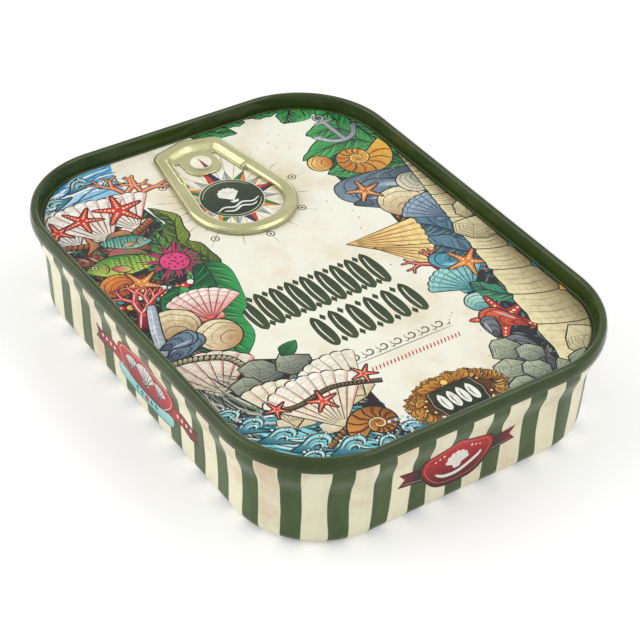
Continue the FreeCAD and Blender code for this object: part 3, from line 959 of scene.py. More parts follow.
def urchin(sheet, at, radius, light, dark):
    """A round spiny creature, spines outward."""
    spines = 22
    for k in range(spines):
        way = turned(360 * k / spines + 5 * math.sin(3 * k))
        tip = at + way * radius * (1 + 0.12 * math.sin(5 * k))
        sheet.shape([at + way * 0.9j * radius * 0.13, tip, at - way * 0.9j * radius * 0.13],
                    tone(dark, light, at, tip), 0.18)
    sheet.dot(at, radius * 0.46, light, 0.28, 14)
    for k in range(14):
        spot = at + turned(k * 137.5, radius * 0.38 * math.sqrt(k / 14))
        sheet.dot(spot, radius * 0.045, dark, steps=5)


def strands(sheet, start, end, count, spread, colours, own, sway, width):
    """A bundle of hanging or streaming threads from a place to a place."""
    way = end - start
    side = way / abs(way) * 1j
    for k in range(count):
        off = side * own.uniform(-spread, spread)
        lag = own.uniform(0.0, 0.25)
        bow = side * own.uniform(-sway, sway)
        path = [start + off * 0.6 + way * lag, start + off + bow + way * 0.4,
                start + off - bow * 0.7 + way * 0.7, end + off * 1.2 + side * own.uniform(-1, 1)]
        sheet.line(smooth(path, 4, closed=False), width * own.uniform(0.6, 1.3),
                   colours[k % len(colours)], 0.15)


def razor(sheet, at, angle, size, light, dark):
    """A long narrow shell."""
    turn = turned(angle, size)
    outline = smooth([0, 0.04 + 0.07j, 0.5 + 0.1j, 0.94 + 0.06j, 1, 0.95 - 0.06j, 0.5 - 0.05j,
                      0.05 - 0.06j], 4)
    outline = laid(at, turn, outline)
    sheet.shape(outline, tone(light, dark, at + turn * 0.1j, at - turn * 0.1j), 0.26)
    for k in range(3, 10):
        x = 0.1 * k
        ridge = (complex(x, 0.085), complex(x + 0.04, 0.02), complex(x, -0.045))
        sheet.line(laid(at, turn, ridge), 0.16, dark)
    sheet.line(laid(at, turn, (0.06 + 0.02j, 0.5 + 0.035j, 0.95 + 0.01j)), 0.2, "#fafcfa")


def leaf(sheet, at, angle, size, light, dark, wide=0.3):
    """A small pointed leaf with a midrib."""
    turn = turned(angle, size)
    half = smooth([0, 0.3 + 1j * wide, 0.7 + 0.72j * wide, 1], 3, closed=False)
    outline = half + [p.conjugate() for p in half[-2:0:-1]]
    sheet.shape(laid(at, turn, outline), tone(light, dark, at + turn, at), 0.2)
    sheet.fill(laid(at, turn, half) + [at + turn * 0.5], tone(dark, light, at, at + turn * 1.4))
    sheet.line([at, at + turn * 0.5, at + turn * 0.96], 0.16, INK)


def anchor(sheet, at, angle, size, paint, pen):
    """A plain anchor, its ring at the top of the angle."""
    turn = turned(angle, size)

    def put(points):
        return [at + turn * p for p in points]

    parts = [
        (put([-0.8, -0.2, 0.55]), 0.16), (put([0.42 - 0.32j, 0.42, 0.42 + 0.32j]), 0.13),
        (put(arc(-0.12 + 0j, 0.66, 110, 250, 12)), 0.17), (put(arc(0.7 + 0j, 0.15, 0, 350, 10)), 0.09),
    ]
    for path, width in parts:
        sheet.line(path, width * size + pen, INK, 0.9)
    for side in (-1, 1):
        fluke = put([-0.12 + 0.86j * side, -0.46 + 0.72j * side, -0.2 + 0.5j * side])
        sheet.fill(fluke, paint)
        sheet.ring(fluke, pen * 0.7, INK)
    for path, width in parts:
        sheet.line(path, width * size, paint, 0.9)


def wind_rose(sheet, centre):
    """A traditional sixteen-point rose round a plain dark disc."""
    for k in range(32):
        way = turned(11.25 * k)
        reach = 17.2 if k % 4 == 0 else 15.6 if k % 2 == 0 else 12.5
        sheet.line([centre + way * f for f in (5, 10, reach)], 0.13, "#988c78", 0.6)
    for k in range(16):
        way = turned(22.5 * k)
        if k % 2 == 0:
            sheet.ring(arc(centre + way * 14.0, 0.78, 0, 330, 11), 0.24, "#5c5040")
            sheet.dot(centre + way * 14.0, 0.3, "#5c5040", steps=7)
        else:
            sheet.line([centre + way * (13.4 + 0.2j), centre + way * (14.4 - 0.2j)], 0.3, "#786a58")
    ranks = [
        ([22.5 + 45 * k for k in range(8)], 9.3, 1.25, "#b0c8d2", "#c4a880"),
        ([45, 135, 225, 315], 10.0, 1.5, "#24804a", "#e88c32"),
        ([0, 180, 270], 10.6, 1.55, "#d63e38", "#2c305c"),
        ([90], 13.2, 1.55, "#d63e38", "#2c305c"),
    ]
    for angles, reach, wide, one, two in ranks:
        for angle in angles:
            way = turned(angle)
            tip, foot = centre + way * reach, centre + way * 4.6
            for side, colour in ((1j, one), (-1j, two)):
                sheet.shape([foot, tip, centre + way * (5.4 + side * wide)], colour, 0.15)
    sheet.dot(centre, 6.5, "#ded6ba", steps=48)
    sheet.dot(centre, 6.3, tone("#222e1e", "#3c4a32", centre - 5j, centre + 6j), steps=48)
    sheet.line(arc(centre, 5.75, 25, 155, 16), 0.22, "#c4cca8")
    sheet.line(arc(centre, 5.75, 205, 335, 16), 0.22, "#c4cca8")


def plain_fan(sheet, at, size, root, step, reach, notch, foot, paint):
    """A scallop in one colour: seven rays a step apart, their reach falling off to the sides."""
    for k in range(-3, 4):
        way = turned(90 + step * k, size)
        far = reach[0] - reach[1] * k * k
        ray = [at + root * size, at + way * (far - notch), at + way * far,
               at + way * (far - notch.conjugate())]
        sheet.fill(ray, paint)
    sheet.fill(laid(at, size, foot), paint)


def lozenge(sheet, at, wide, high, paint):
    """An upright diamond shape."""
    sheet.fill(laid(at, 1, (wide, high * 1j, -wide, -high * 1j)), paint)


def sprig(sheet, at, paint, size):
    """A plain scallop over two ripples, in one colour."""
    root, foot = -0.9j, (-0.9 - 0.9j, 0.9 - 0.9j, 0.5 - 1.5j, -0.5 - 1.5j)
    plain_fan(sheet, at, size, root, 17, (3.0, 0.07), 0.25 - 0.42j, foot, paint)
    for row in (0, 1):
        run = np.linspace(-4.2 + row, 4.2 - row, 19)
        wave = [at + size * complex(x, -2.3 - 0.95 * row + 0.32 * math.sin(1.75 * x + row)) for x in run]
        sheet.line(wave, 0.42 * size, paint)


def frieze(sheet, first, step, count, height):
    """A row of upright closed mussels with a slit in each."""
    up = 1j * height
    half = smooth([up, 1.05 + 0.66j * height, 1.5 - 0.12j * height, 1.05 - 0.78j * height, -up], 5, False)
    slit = smooth([-0.04 + 0.7j * height, -0.42 + 0.1j * height, -0.2 - 0.74j * height], 5, False)
    for k in range(count):
        at = first + step * k
        sheet.fill(laid(at, 1, mirrored(half)), tone("#323e26", "#404e32", at + up, at - up))
        sheet.line(laid(at, 1, slit), 0.3, CREAM, 0.15)
        if k:
            for end in (-1, 1):
                lozenge(sheet, at - step / 2 + 0.76j * height * end, 0.62, 1.05, "#38442c")


def ornaments(sheet):
    """What stands in the middle of the field: two friezes, a running scroll and a cord."""
    frieze(sheet, -16.9 - 6.9j, 3.36, 9, 5.2)
    frieze(sheet, -8.6 - 17.8j, 3.9, 6, 4.7)
    grey = "#62625c"
    for k in range(7):
        at = complex(-8.2 + 3.05 * k, -26.7)
        curl = [at + turned(150 + 40 * j, 1.35 * (1 - 0.085 * j)) for j in range(11)]
        sheet.line(curl, 0.36, grey, 0.2)
        sheet.line([at + 1.15 - 0.95j, at + 1.7 - 1.2j, at + 2.3 - 0.6j], 0.3, grey, 0.4)
    sheet.line([complex(x, -28.55) for x in np.linspace(-9.5, 12, 9)], 0.2, grey)
    for k in range(25):
        at = complex(-7.4 + 0.79 * k, -31.2)
        sheet.line([at - 0.26 - 0.62j, at + 0.05, at + 0.26 + 0.62j], 0.34, "#cc5448", 0.5)


def wreath(sheet, centre):
    """A gilt wreath round a plain dark plate."""
    gold, brown, dark = "#f0b24c", "#a05a1c", "#462410"
    pairs = ((gold, brown), ("#ce822e", dark), ("#e09636", "#783e16"), ("#face6e", brown))
    own = random.Random(3)
    backing = []
    for k in range(17):
        bend = math.radians(-30 + 240 * k / 16)
        backing.append(centre + complex(8.2 * math.cos(bend), 4.3 * math.sin(bend) + 0.3))
    sheet.line(backing, 3.4, "#4a2814", 0.6)
    oval = []
    for k in range(24):
        bend = k / 24 * math.tau
        oval.append(centre + complex(7.6 * math.cos(bend), 3.9 * math.sin(bend)))
    sheet.fill(oval, "#60381a")
    for side in (-1, 1):
        for k in range(17):
            bend = math.radians(-34 + 7.4 * k)
            spot = centre + complex(side * 7.6 * math.cos(bend), 3.9 * math.sin(bend) + 0.2)
            for lean, size in ((64, 2.9), (-52, 2.5), (18, 2.8), (-16, 2.6)):
                way = 90 - side * (90 - math.degrees(bend)) + side * (lean + own.uniform(-20, 20))
                pair = own.choice(pairs)
                leaf(sheet, spot, way, size * own.uniform(0.8, 1.1), *pair)
            if k % 2:
                sheet.dot(spot + turned(own.uniform(0, 360), 0.9), 0.34, "#ffde82", 0.14, 7)
    for k in range(-3, 4):
        leaf(sheet, centre + complex(1.1 * k, 3.6), 90 - 18 * k, 2.7, gold, brown, 0.36)
    sheet.dot(centre + 4.4j, 0.8, "#face6e", 0.2, 9)
    plate = [3.1j, 2.1 + 2.8j, 4.2 + 3.1j, 4.6 + 1.5j, 5.0 + 0j,
             4.6 - 1.5j, 4.2 - 3.1j, 2.1 - 2.8j, -3.1j]
    plate = smooth(mirrored(plate), 3)
    sheet.shape([centre + p * 1.09 for p in plate], "#b09278", 0.34)
    sheet.shape(laid(centre, 1, plate), tone("#222e1e", "#323e2a", centre - 3j, centre + 3j), 0.16)
    half = smooth([2.3j, 0.62 + 1.4j, 0.86 - 0.3j, 0.6 - 1.7j, -2.3j], 4, closed=False)
    for k in range(4):
        at = centre + complex(-3.0 + 2.0 * k, 0.0)
        sheet.fill(laid(at, 1, mirrored(half)), "#f6f4e8")
        sheet.line(laid(at, 1, (0.02 + 1.5j, -0.26 + 0.1j, -0.1 - 1.6j)), 0.26, "#243020", 0.2)


# The length that a thicket's strokes are shares of.
THREAD = 2.4
# How far the field's drawing reaches from its middle.
FIELD_X, FIELD_Y = 37, 49.5


def thicket(sheet, region, count, colours, own):
    """Fine curled strokes that fill a region behind the larger things."""
    def within(spot):
        return lies_within(np.array([spot]), region)[0]

    left = max(min(p.real for p in region), -FIELD_X)
    right = min(max(p.real for p in region), FIELD_X)
    while count:
        spot = complex(own.uniform(left, right), own.uniform(-FIELD_Y, FIELD_Y))
        if not within(spot):
            continue
        count -= 1
        way, bend = own.uniform(0, 360), own.uniform(-40, 40)
        path = [spot]
        for k in range(3):
            path.append(path[-1] + turned(way + bend * k, THREAD * own.uniform(0.2, 0.42)))
        if within(path[-1]):
            sheet.line(path, own.uniform(0.24, 0.62), own.choice(colours), 0.2)


def left_border(sheet):
    """Sea things up the left side, as they lie from the far end to the near end."""
    own = random.Random(11)
    white, red, forest = "#faf6ea", "#e03424", "#0a4228"
    slate, navy = "#7e96a6", "#1c2c46"
    bed = [-40 + 52j, -16 + 52j, -18.5 + 42j, -17.5 + 34j, -16.5 + 27j, -16.5 + 18j,
           -18.5 + 9j, -22 + 0j, -25.5 - 9j, -25 - 17j, -18 - 21j, -13 - 27j,
           -11 - 35j, -11.5 - 45j, -11 - 52j, -40 - 52j]
    sheet.fill(bed, tone("#18282c", "#281e22", 20j, 5j))
    weeds = ["#226e46", "#602832", "#784628", "#328c6e", "#b45a32", "#14141a", "#56783c"]
    thicket(sheet, [p for p in bed if p.imag > -21] + [-40 - 18j], 700, weeds, own)
    depths = ["#286078", "#6e746c", "#3c4240", "#969682", "#14181c", "#4696a0"]
    thicket(sheet, [p for p in bed if p.imag < -8] + [-40 - 8j], 340, depths, own)
    sky = [-40 + 52j, -14 + 52j, -16.5 + 46j, -17.2 + 40j, -19 + 33j, -40 + 28j]
    sheet.fill(sky, tone("#5cacd0", "#cee8ee", -20 + 48j, -28 + 32j))
    strands(sheet, -40 + 44j, -16 + 48j, 18, 6, ["#ffffff", "#3c82b2", "#b2dcea", "#245a8c"],
            own, 2.2, 0.5)
    for at, angle, size, flip in ((-24 + 45.5j, 10, 3.2, 1), (-31 + 42j, 25, 3.2, -1),
                                  (-18.5 + 43j, -8, 2.4, 1)):
        breaker(sheet, at, angle, size, flip)
    coral(sheet, -20 + 29j, 66, 15, "#f68c3c", "#a02e32", 4, 5)
    scallop(sheet, -21.5 + 26.5j, 94, 12.5, white, "#e2d6c4", red, 7, 40)
    scallop(sheet, -34 + 27j, 96, 13, white, "#dcd2c8", red, 7, 42)
    scallop(sheet, -28 + 25.5j, 92, 14.5, white, "#e4d8c8", red, 8, 38)
    rope(sheet, [-38 + 29j, -31 + 26.5j, -24 + 25.6j, -17.5 + 28.5j], 1.5, "#c47846", "#6e3222")
    for at, angle, size in ((-35.2 + 33.6j, 18, 3.4), (-29.4 + 34.8j, 50, 4.2), (-21.6 + 34.2j, 8, 5.0)):
        starfish(sheet, at, angle, size, "#ec422c", "#ba1a18")
    for k in range(7):
        at = complex(-37 + 2.9 * k, 25.6 - 0.25 * k)
        mussel(sheet, at, -66 + 7 * (k % 3), 5.2, "#aa6046", "#461c1e", (-1) ** k)
    frond(sheet, [-18.5 + 6j, -15 + 12j, -17 + 19j, -14.5 + 26j, -16.5 + 32j],
          4.6, "#8ca03c", "#3c5422", 13, 0.2)
    frond(sheet, [-21 + 7j, -18 + 13j, -20.5 + 20j, -19 + 25j], 4.4, "#609646", "#1e4a2c", 12, 0.2)
    fish(sheet, -36.5 + 20j, -14, 17.5, "#3a8436", "#c4d65c", "#d6426e")
    fish(sheet, -21 + 22.5j, 158, 12, "#22786e", "#96ceb4", "#ec823c", -1)
    urchin(sheet, -20.8 + 14.4j, 6.4, "#de4a80", "#7a1242")
    mussel(sheet, -27 + 10j, 150, 9, "#78b4be", "#144254")
    cockle(sheet, -33.5 + 13j, 3.6, "#f09646", "#a03c1e", 120)
    starfish(sheet, -29.5 + 11.5j, 30, 4.4, "#f4b248", "#d25424")
    beads(sheet, [-37 + 10j, -33 + 8j, -28 + 8.6j, -23 + 7j, -17.5 + 9.6j], 0.95,
          [red, "#f4f0e2", "#42aab0", "#f08c3c"])
    beads(sheet, [-37 + 7.4j, -32 + 5.6j, -27 + 6.6j], 0.8, ["#42aab0", red, "#f0be5a"])
    coral(sheet, -36 + 0j, 60, 12, "#ec5046", "#821028", 4, 9)
    frond(sheet, [-16.5 + 11j, -18 + 4j, -22.5 - 3j, -24 - 11j, -27 - 18j],
          10.5, "#32a054", forest, 17, 0.1, 3)
    frond(sheet, [-24 + 7j, -28 + 1j, -27 - 6j, -29 - 12j], 7, "#46aa5a", "#0e5032", 12)
    scallop(sheet, -24 - 4.5j, 76, 9.5, white, red, "#e8462c", 8, 50)
    cockle(sheet, -30.6 - 2.4j, 4.8, "#eedcb2", "#ac8654", 70)
    cockle(sheet, -25 - 9j, 4.6, "#f4e4be", "#ba9260", 130)
    razor(sheet, -36.5 - 9j, 70, 15, "#dee6ea", "#788c9c")
    for at, angle, size, flip in ((-37 - 11j, 24, 10, 1), (-36.5 - 7j, 10, 8, -1),
                                  (-27 - 14.5j, 172, 9, 1)):
        mussel(sheet, at, angle, size, slate, navy, flip)
    scallop(sheet, -33 - 23j, 82, 11.5, "#f4ecdc", "#cebea0", "#e23622", 7, 52)
    rope(sheet, [-38 - 11.5j, -33 - 12.2j, -27.5 - 15j, -26 - 19.5j], 1.3, "#d6c8a0", "#6e6042")
    strands(sheet, -36 - 18j, -30 - 42j, 60, 8, ["#96988e", "#3c4240", "#cccebe", "#181c1e", "#788268"],
            own, 2.6, 0.42)
    for at, radius, seed in ((-24.5 - 21.5j, 4.0, 1), (-18.5 - 22.5j, 3.6, 2), (-14 - 26j, 3.0, 3),
                             (-28.5 - 24j, 3.4, 4)):
        rock(sheet, at, radius, "#b2b8a0", "#4a504c", seed)
    leaf(sheet, -19 - 19.6j, 28, 5.2, "#3c9650", forest)
    cockle(sheet, -27 - 28.5j, 3.4, "#d6d2b0", "#78765c", 60)
    strands(sheet, -37 - 32j, -16 - 48j, 70, 7, ["#60c4ce", "#e8f4f2", "#10282e", "#8cd4d8", "#28808e"],
            own, 2.4, 0.5)
    tan = "#d6c496"
    scallop(sheet, -27 - 37j, 70, 12.5, "#f6f0d8", tan, "#e47860", 7, 40)
    scallop(sheet, -12.4 - 36.2j, 112, 12.5, "#faf6e6", tan, "#ece2c4", 9, 46)
    scallop(sheet, -20 - 41.5j, 88, 15, "#fcf8ea", "#decea4", "#e6604e", 9, 42)
    rope(sheet, [-30 - 31j, -24 - 32.5j, -16 - 31.4j, -7.6 - 34.4j], 0.9, "#967854", "#3c2c22")
    rope(sheet, [-25 - 44j, -19 - 41.5j, -14 - 42.5j], 1.2, "#be8c50", "#603c22")
    for at, angle, size in ((-27.6 - 31.4j, 30, 2.4), (-19.6 - 33.6j, 10, 3.0), (-9.4 - 31.2j, 44, 2.6)):
        starfish(sheet, at, angle, size, "#f0604a", "#cc2c28")
    nautilus(sheet, -14.6 - 43.4j, 200, 6.6, "#de9646", "#6e3816")
    for at, angle, size, flip in ((-33.5 - 33j, -20, 3.6, 1), (-30.5 - 38j, -30, 3.9, 1),
                                  (-26.5 - 42.6j, -26, 4.2, 1), (-21.5 - 46.2j, -16, 4.0, 1),
                                  (-35.6 - 28.5j, -50, 3.0, 1), (-16 - 48.4j, 0, 3.0, 1),
                                  (-10.2 - 47.6j, 8, 3.2, -1), (-29 - 45j, -30, 3.2, 1)):
        breaker(sheet, at, angle, size, flip)
    for k in range(26):
        spot = complex(own.uniform(-14, -5.6), own.uniform(-48.5, -43.5))
        sheet.dot(spot, own.uniform(0.12, 0.42), "#60aabe" if k % 2 else "#d6e8e8", steps=6)


def right_border(sheet):
    """Weed, shells and stones up the right side."""
    own = random.Random(23)
    forest = "#083e26"
    slate, navy = "#849caa", "#1e2a3c"
    bed = [5 + 52j, 7 + 48.4j, 12 + 48.2j, 14 + 50j, 22 + 50j, 25 + 46j, 31 + 43j, 27 + 37j,
           22 + 30j, 21 + 24j, 20.5 + 14j, 23 + 8j, 22 + 0j, 20.5 - 8j, 19.5 - 15j, 20 - 23j,
           19.5 - 30j, 17 - 37j, 15 - 46j, 15 - 52j, 40 - 52j, 40 + 52j]
    sheet.fill(bed, tone("#0a3624", "#22262a", 20j, -10j))
    weeds = ["#1e7842", "#0e462e", "#50a05a", "#0a1e18", "#3c6e3c"]
    thicket(sheet, [p for p in bed[:-1] if p.imag > 16] + [40 + 18j, 40 + 52j], 260, weeds, own)
    depths = ["#325a74", "#6e8292", "#181e28", "#3c96a0", "#be6432", "#786e50", "#12141a"]
    thicket(sheet, [40 + 18j] + [p for p in bed if p.imag < 26], 520, depths, own)
    for path, width in (
        ([3 + 51j, 7 + 49.3j, 12.4 + 45.6j], 4.6), ([9 + 52j, 13 + 49.6j, 16 + 48.4j], 3.2),
        ([16 + 51.5j, 20 + 49.4j, 24 + 48.4j], 3.4),
        ([37 + 44j, 31 + 47j, 24.4 + 43j], 7.2), ([28 + 52j, 26 + 47j, 22.6 + 43.6j], 5.4),
        ([38 + 36j, 34 + 42j, 29.5 + 41.6j], 6),
        ([38 + 30j, 32 + 36j, 24 + 37.4j], 7.0), ([38 + 24j, 31 + 31.5j, 18.4 + 30j], 7.4),
        ([37 + 18j, 29 + 22j, 20 + 23.4j], 7.0),
        ([36 + 46j, 35 + 36j, 36 + 26j], 6.0),
    ):
        frond(sheet, path, width, "#46b05c", forest, 13, 0.16, 4)
    anchor(sheet, 30 + 37.2j, 92, 6.4, tone("#c4c8cc", "#6e747e", 24 + 37j, 36 + 37j), 0.4)
    nautilus(sheet, 28.4 + 25.4j, 20, 8.6, "#f0be4e", "#b05c16")
    cockle(sheet, 21 + 27.4j, 2.8, "#f6ce78", "#be6e28", 160)
    for at, angle, size, flip in ((36.5 + 17j, 182, 19, 1), (37 + 9j, 164, 17, -1), (36 + 2j, 140, 15, 1),
                                  (18.4 + 12j, -22, 12, 1)):
        mussel(sheet, at, angle, size, slate, navy, flip)
    cockle(sheet, 27.6 + 7.6j, 5.4, "#f4e6be", "#b49664", 80)
    cockle(sheet, 33.4 + 12.6j, 3.6, "#e2dcbe", "#788078", 200)
    starfish(sheet, 23 + 14.8j, 14, 3.8, "#f0a046", "#be5028")
    frond(sheet, [37 - 14j, 31 - 7j, 27 - 1j, 22 + 2j], 8.4, "#6088a0", "#1a324c", 15)
    frond(sheet, [36 - 20j, 29 - 13j, 24 - 7j, 19.5 - 5j], 7.6, "#6e96aa", "#1c3650", 15)
    scallop(sheet, 32 - 1j, 110, 9, "#a0b4c4", "#466482", "#283c60", 7, 40)
    scallop(sheet, 9.7 + 1.9j, -22, 15.6, "#fae096", "#e2aa5a", "#d63c28", 7, 25)
    scallop(sheet, 13.4 - 1.6j, -42, 11.5, "#f6dc96", "#dea054", "#ce3c28", 5, 18)
    coral(sheet, 21 - 15j, 112, 8.5, "#e84a3c", "#82161e", 3, 4)
    scallop(sheet, 22 - 22j, 100, 8.4, "#aae0d8", "#3496a0", "#227888", 9, 56)
    mussel(sheet, 29 - 15j, 150, 10, "#60b0c4", "#104660")
    starfish(sheet, 26.2 - 14.4j, 40, 4.4, "#f8a648", "#cc5422")
    cockle(sheet, 20.6 - 25.8j, 3.0, "#bee6d6", "#469696", 70)
    frond(sheet, [30 - 30j, 25 - 25j, 22.4 - 20j], 4.6, "#46a078", "#105046", 9)
    starfish(sheet, 22 - 31.6j, 16, 6.6, "#ec4e42", "#a01a22")
    mussel(sheet, 24 - 36j, 128, 9.5, "#e86846", "#8c1a1e", -1)
    for at, angle, size, flip in ((21.5 - 49j, 104, 13, 1), (18.4 - 49j, 96, 11, -1),
                                  (25.4 - 47.5j, 80, 11, 1), (17 - 36j, 70, 6.5, 1)):
        mussel(sheet, at, angle, size, "#888c94", "#1a1c22", flip)
    for at, radius, seed in ((15.8 - 39.4j, 3.3, 5), (13.6 - 44.4j, 3.5, 6), (17.6 - 46.4j, 3.2, 7),
                             (12.4 - 48.6j, 3.0, 8), (24 - 48j, 3.6, 9),
                             (19.4 - 42j, 2.7, 12), (28.6 - 46j, 3.4, 10), (34 - 41j, 4.0, 11)):
        rock(sheet, at, radius, "#c8d0b2", "#5c685c", seed)
    for path in ([37 - 4j, 35 - 10j, 36.6 - 16j], [38 - 17j, 35.4 - 23j, 37 - 30j]):
        frond(sheet, path, 4.4, "#3cbec8", "#105a6e", 8)
    cockle(sheet, 35.6 - 31j, 3.2, "#f6be64", "#c46428", 100)
    scallop(sheet, 36 - 40j, 100, 6.5, "#6eced6", "#1e788c", "#f0ecd6", 7, 40)
    auger(sheet, 29.4 - 49.5j, 36.4 + 22j, 12.4, "#ece0b0", "#84744e", 15)
    for at, radius, seed in ((34 - 6.5j, 4.3, 31), (36.5 - 0.5j, 3.0, 32), (30.4 - 44.5j, 4.6, 33)):
        rock(sheet, at, radius, "#ece2b4", "#968860", seed)
    rock(sheet, 26.4 - 48.4j, 2.8, "#bec8aa", "#546054", 14)
    for _ in range(40):
        spot = complex(own.uniform(12, 20), own.uniform(-48, 44))
        sheet.dot(spot, own.uniform(0.08, 0.2), "#78705c", steps=5)


def draw_panel(sheet):
    """Everything printed on the end, from the back of the sheet to the front."""
    wind_rose(sheet, -0.7 + 26.4j)
    sprig(sheet, -0.7 + 26.6j, "#f0f0e6", 1.15)
    ornaments(sheet)
    left_border(sheet)
    right_border(sheet)
    wreath(sheet, 1.1 - 45.0j)


# ---------------------------------------------------------------- the tin's own pieces

def body_profile():
    """Outside of the drawn body, from its base up to the neck and back inside the seam."""
    return rounded([
        (9.5, 0.6, 0), (7.98, 0.6, 0.5), (7.28, 0.0, 0.5), (NECK + 1.9, 0.0, 2.6),
        (NECK + 1.3, SEAM_FOOT - 6.2, 7.0), (NECK, SEAM_FOOT - 2.7, 5.0),
        (NECK, SEAM_FOOT + 0.4, 0), (NECK + 0.2, SEAM_FOOT + 0.4, 0), (NECK + 0.2, GUTTER - 0.3, 0),
    ])


SCORE = 3.78
SCORE_HALF = 0.17
SCORE_DEPTH = 0.1


def end_profile():
    """The end: hidden root, seam, chuck wall, gutter and the panel's edge."""
    return rounded([
        (NECK + 0.22, GUTTER - 0.25, 0), (NECK + 0.22, SEAM_FOOT + 1.6, 0), (NECK, SEAM_FOOT + 1.6, 0),
        (NECK, SEAM_FOOT, 0), (0.14, SEAM_FOOT, 0.25), (0.0, SEAM_FOOT + 0.9, 1.2), (0.0, TOP - 1.5, 1.6),
        (0.34, TOP, 0.74), (1.53, TOP, 0.58),
        (1.98, GUTTER, 0.28), (2.63, GUTTER, 0.28), (2.88, PANEL, 0.3), (3.6, PANEL, 0),
    ])


def panel_slope():
    """Inset, height and outward direction across the print's edge, from the gutter inward."""
    rows = [(p.real, p.imag, way) for p, way in end_profile() if p.real > 2.2 and p.imag > GUTTER]
    rows = [row for row in rows if row[0] > 2.6]
    out = []
    for row in rows:
        if not out or row[0] - out[-1][0] > 1e-4:
            out.append(row)
    return out[:-1]


def trimmed_end_profile():
    """The end's profile cut off where the print begins, then closed underneath."""
    out = []
    slope = panel_slope()
    for place, way in end_profile():
        if place.real >= slope[0][0] - 1e-6 and place.imag > GUTTER:
            break
        out.append((place, way))
    inset, height, way = slope[0]
    out.append((complex(inset, height), way))
    out.append((complex(inset, GUTTER - 0.25), 1.0 + 0j))
    return out


def offset_loop(inset):
    """The tin's outline moved in by an inset."""
    return [point + inward * inset for point, inward, _ in STATIONS]


def inset_of(spot):
    """How far inside the seam's outer edge a place on the panel lies."""
    across = abs(spot.real) - (HALF_WIDTH - CORNER)
    along = abs(spot.imag) - (HALF_LENGTH - CORNER)
    if across > 0 and along > 0:
        return CORNER - math.hypot(across, along), -complex(
            math.copysign(across, spot.real), math.copysign(along, spot.imag)
        ) / math.hypot(across, along)
    if across > along:
        return CORNER - across, -complex(math.copysign(1, spot.real), 0)
    return CORNER - along, -complex(0, math.copysign(1, spot.imag))


def panel_height(spot, slope):
    """Height and outward direction of the printed panel at a place."""
    inset, inward = inset_of(spot)
    if inset < slope[-1][0]:
        for one, two in zip(slope, slope[1:]):
            if inset <= two[0] + 1e-5:
                share = min(max((inset - one[0]) / (two[0] - one[0]), 0), 1)
                way = one[2] * (1 - share) + two[2] * share
                way /= abs(way)
                return one[1] + (two[1] - one[1]) * share, inward * way.real, way.imag
    off = (inset - SCORE) / SCORE_HALF
    if abs(off) < 1:
        dip = SCORE_DEPTH * 0.5 * (1 + math.cos(math.pi * off))
        fall = -SCORE_DEPTH * 0.5 * math.pi / SCORE_HALF * math.sin(math.pi * off)
        way = complex(fall, 1) / abs(complex(fall, 1))
        return PANEL - dip, inward * way.real, way.imag
    return PANEL, 0j, 1.0


def printed_panel(sheet, material):
    """The panel as a thin printed plate, its top cut along everything drawn on it."""
    slope = panel_slope()
    insets = [row[0] for row in slope[1:]]
    insets += [SCORE + SCORE_HALF * k / 3 for k in range(-3, 4)]
    spots, triangles, owners = sheet.settle([offset_loop(i) for i in insets])
    points, normals = [], []
    for spot in spots:
        height, level, up = panel_height(complex(spot.x, spot.y), slope)
        points.append((spot.x, spot.y, height))
        normals.append((level.real, level.imag, up))
    faces = [tuple(t) for t in triangles]
    piece = build("panel_print", points, faces, material, normals)
    sheet.colour(piece.data, owners)
    layer = piece.data.uv_layers.new(name="OFBake")
    count = len(piece.data.loops)
    loops = np.empty(count, np.int64)
    piece.data.loops.foreach_get("vertex_index", loops)
    flat = np.array(points)[loops]
    u = 0.5 + flat[:, 0] / HALF_LENGTH * 0.495
    v = 0.5 + flat[:, 1] / HALF_LENGTH * 0.495
    layer.uv.foreach_set("vector", np.stack([u, v], 1).astype(np.float32).ravel())
    return piece


def rivet(material):
    """The rivet's head, raised out of the panel, with the print's spike running on over it."""
    sheet = Print([p - RIVET for p in circle(RIVET, RIVET_HEAD, RIVET_SIDES)])
    tip = 1.45j
    sheet.shape([-0.42 - 2.1j, 0.42 - 2.1j, tip], "#d63e38", 0.1)
    sheet.fill([0.02 - 2.1j, 0.42 - 2.1j, tip], "#2c305c")
    rings = [RIVET_HEAD - RIVET_ROLL * (1 - math.sin(math.radians(lean))) for lean in (0, 30, 60)]
    spots, triangles, owners = sheet.settle([circle(0j, ring, RIVET_SIDES) for ring in rings])
    points, normals = [], []
    for spot in spots:
        reach = math.hypot(spot.x, spot.y)
        off = min(max((reach - RIVET_HEAD + RIVET_ROLL) / RIVET_ROLL, 0.0), 1.0)
        level = complex(spot.x, spot.y) / max(reach, 1e-6) * off
        height = RIVET_TOP - RIVET_ROLL * (1 - math.sqrt(1 - off * off))
        points.append((spot.x, spot.y + RIVET.imag, height))
        normals.append((level.real, level.imag, math.sqrt(1 - min(off, 0.999) ** 2)))
    faces = [tuple(t) for t in triangles]
    rim = [k for k, p in enumerate(points) if math.hypot(p[0], p[1] - RIVET.imag) > RIVET_HEAD - 0.004]
    rim.sort(key=lambda k: math.atan2(points[k][1] - RIVET.imag, points[k][0]))
    first = len(points)
    for k in rim:
        points.append((points[k][0], points[k][1], TONGUE_TOP - 0.02))
        normals.append((normals[k][0], normals[k][1], 0.0))
    for k in range(len(rim)):
        on = (k + 1) % len(rim)
        faces.append((rim[on], rim[k], first + k, first + on))
        owners.append(0)
    piece = build("rivet_head", points, faces, material, normals)
    sheet.colour(piece.data, owners)
    return piece


# ---------------------------------------------------------------- badges on the walls

BADGE_LIFT = 0.03
# Heights at which a badge bends with the wall: from, to, step.
BADGE_LEVELS = (10.5, 16.6, 0.5)
BADGE_SHEET = [-30 + 0j, 30 + 0j, 30 + 19j, -30 + 19j]


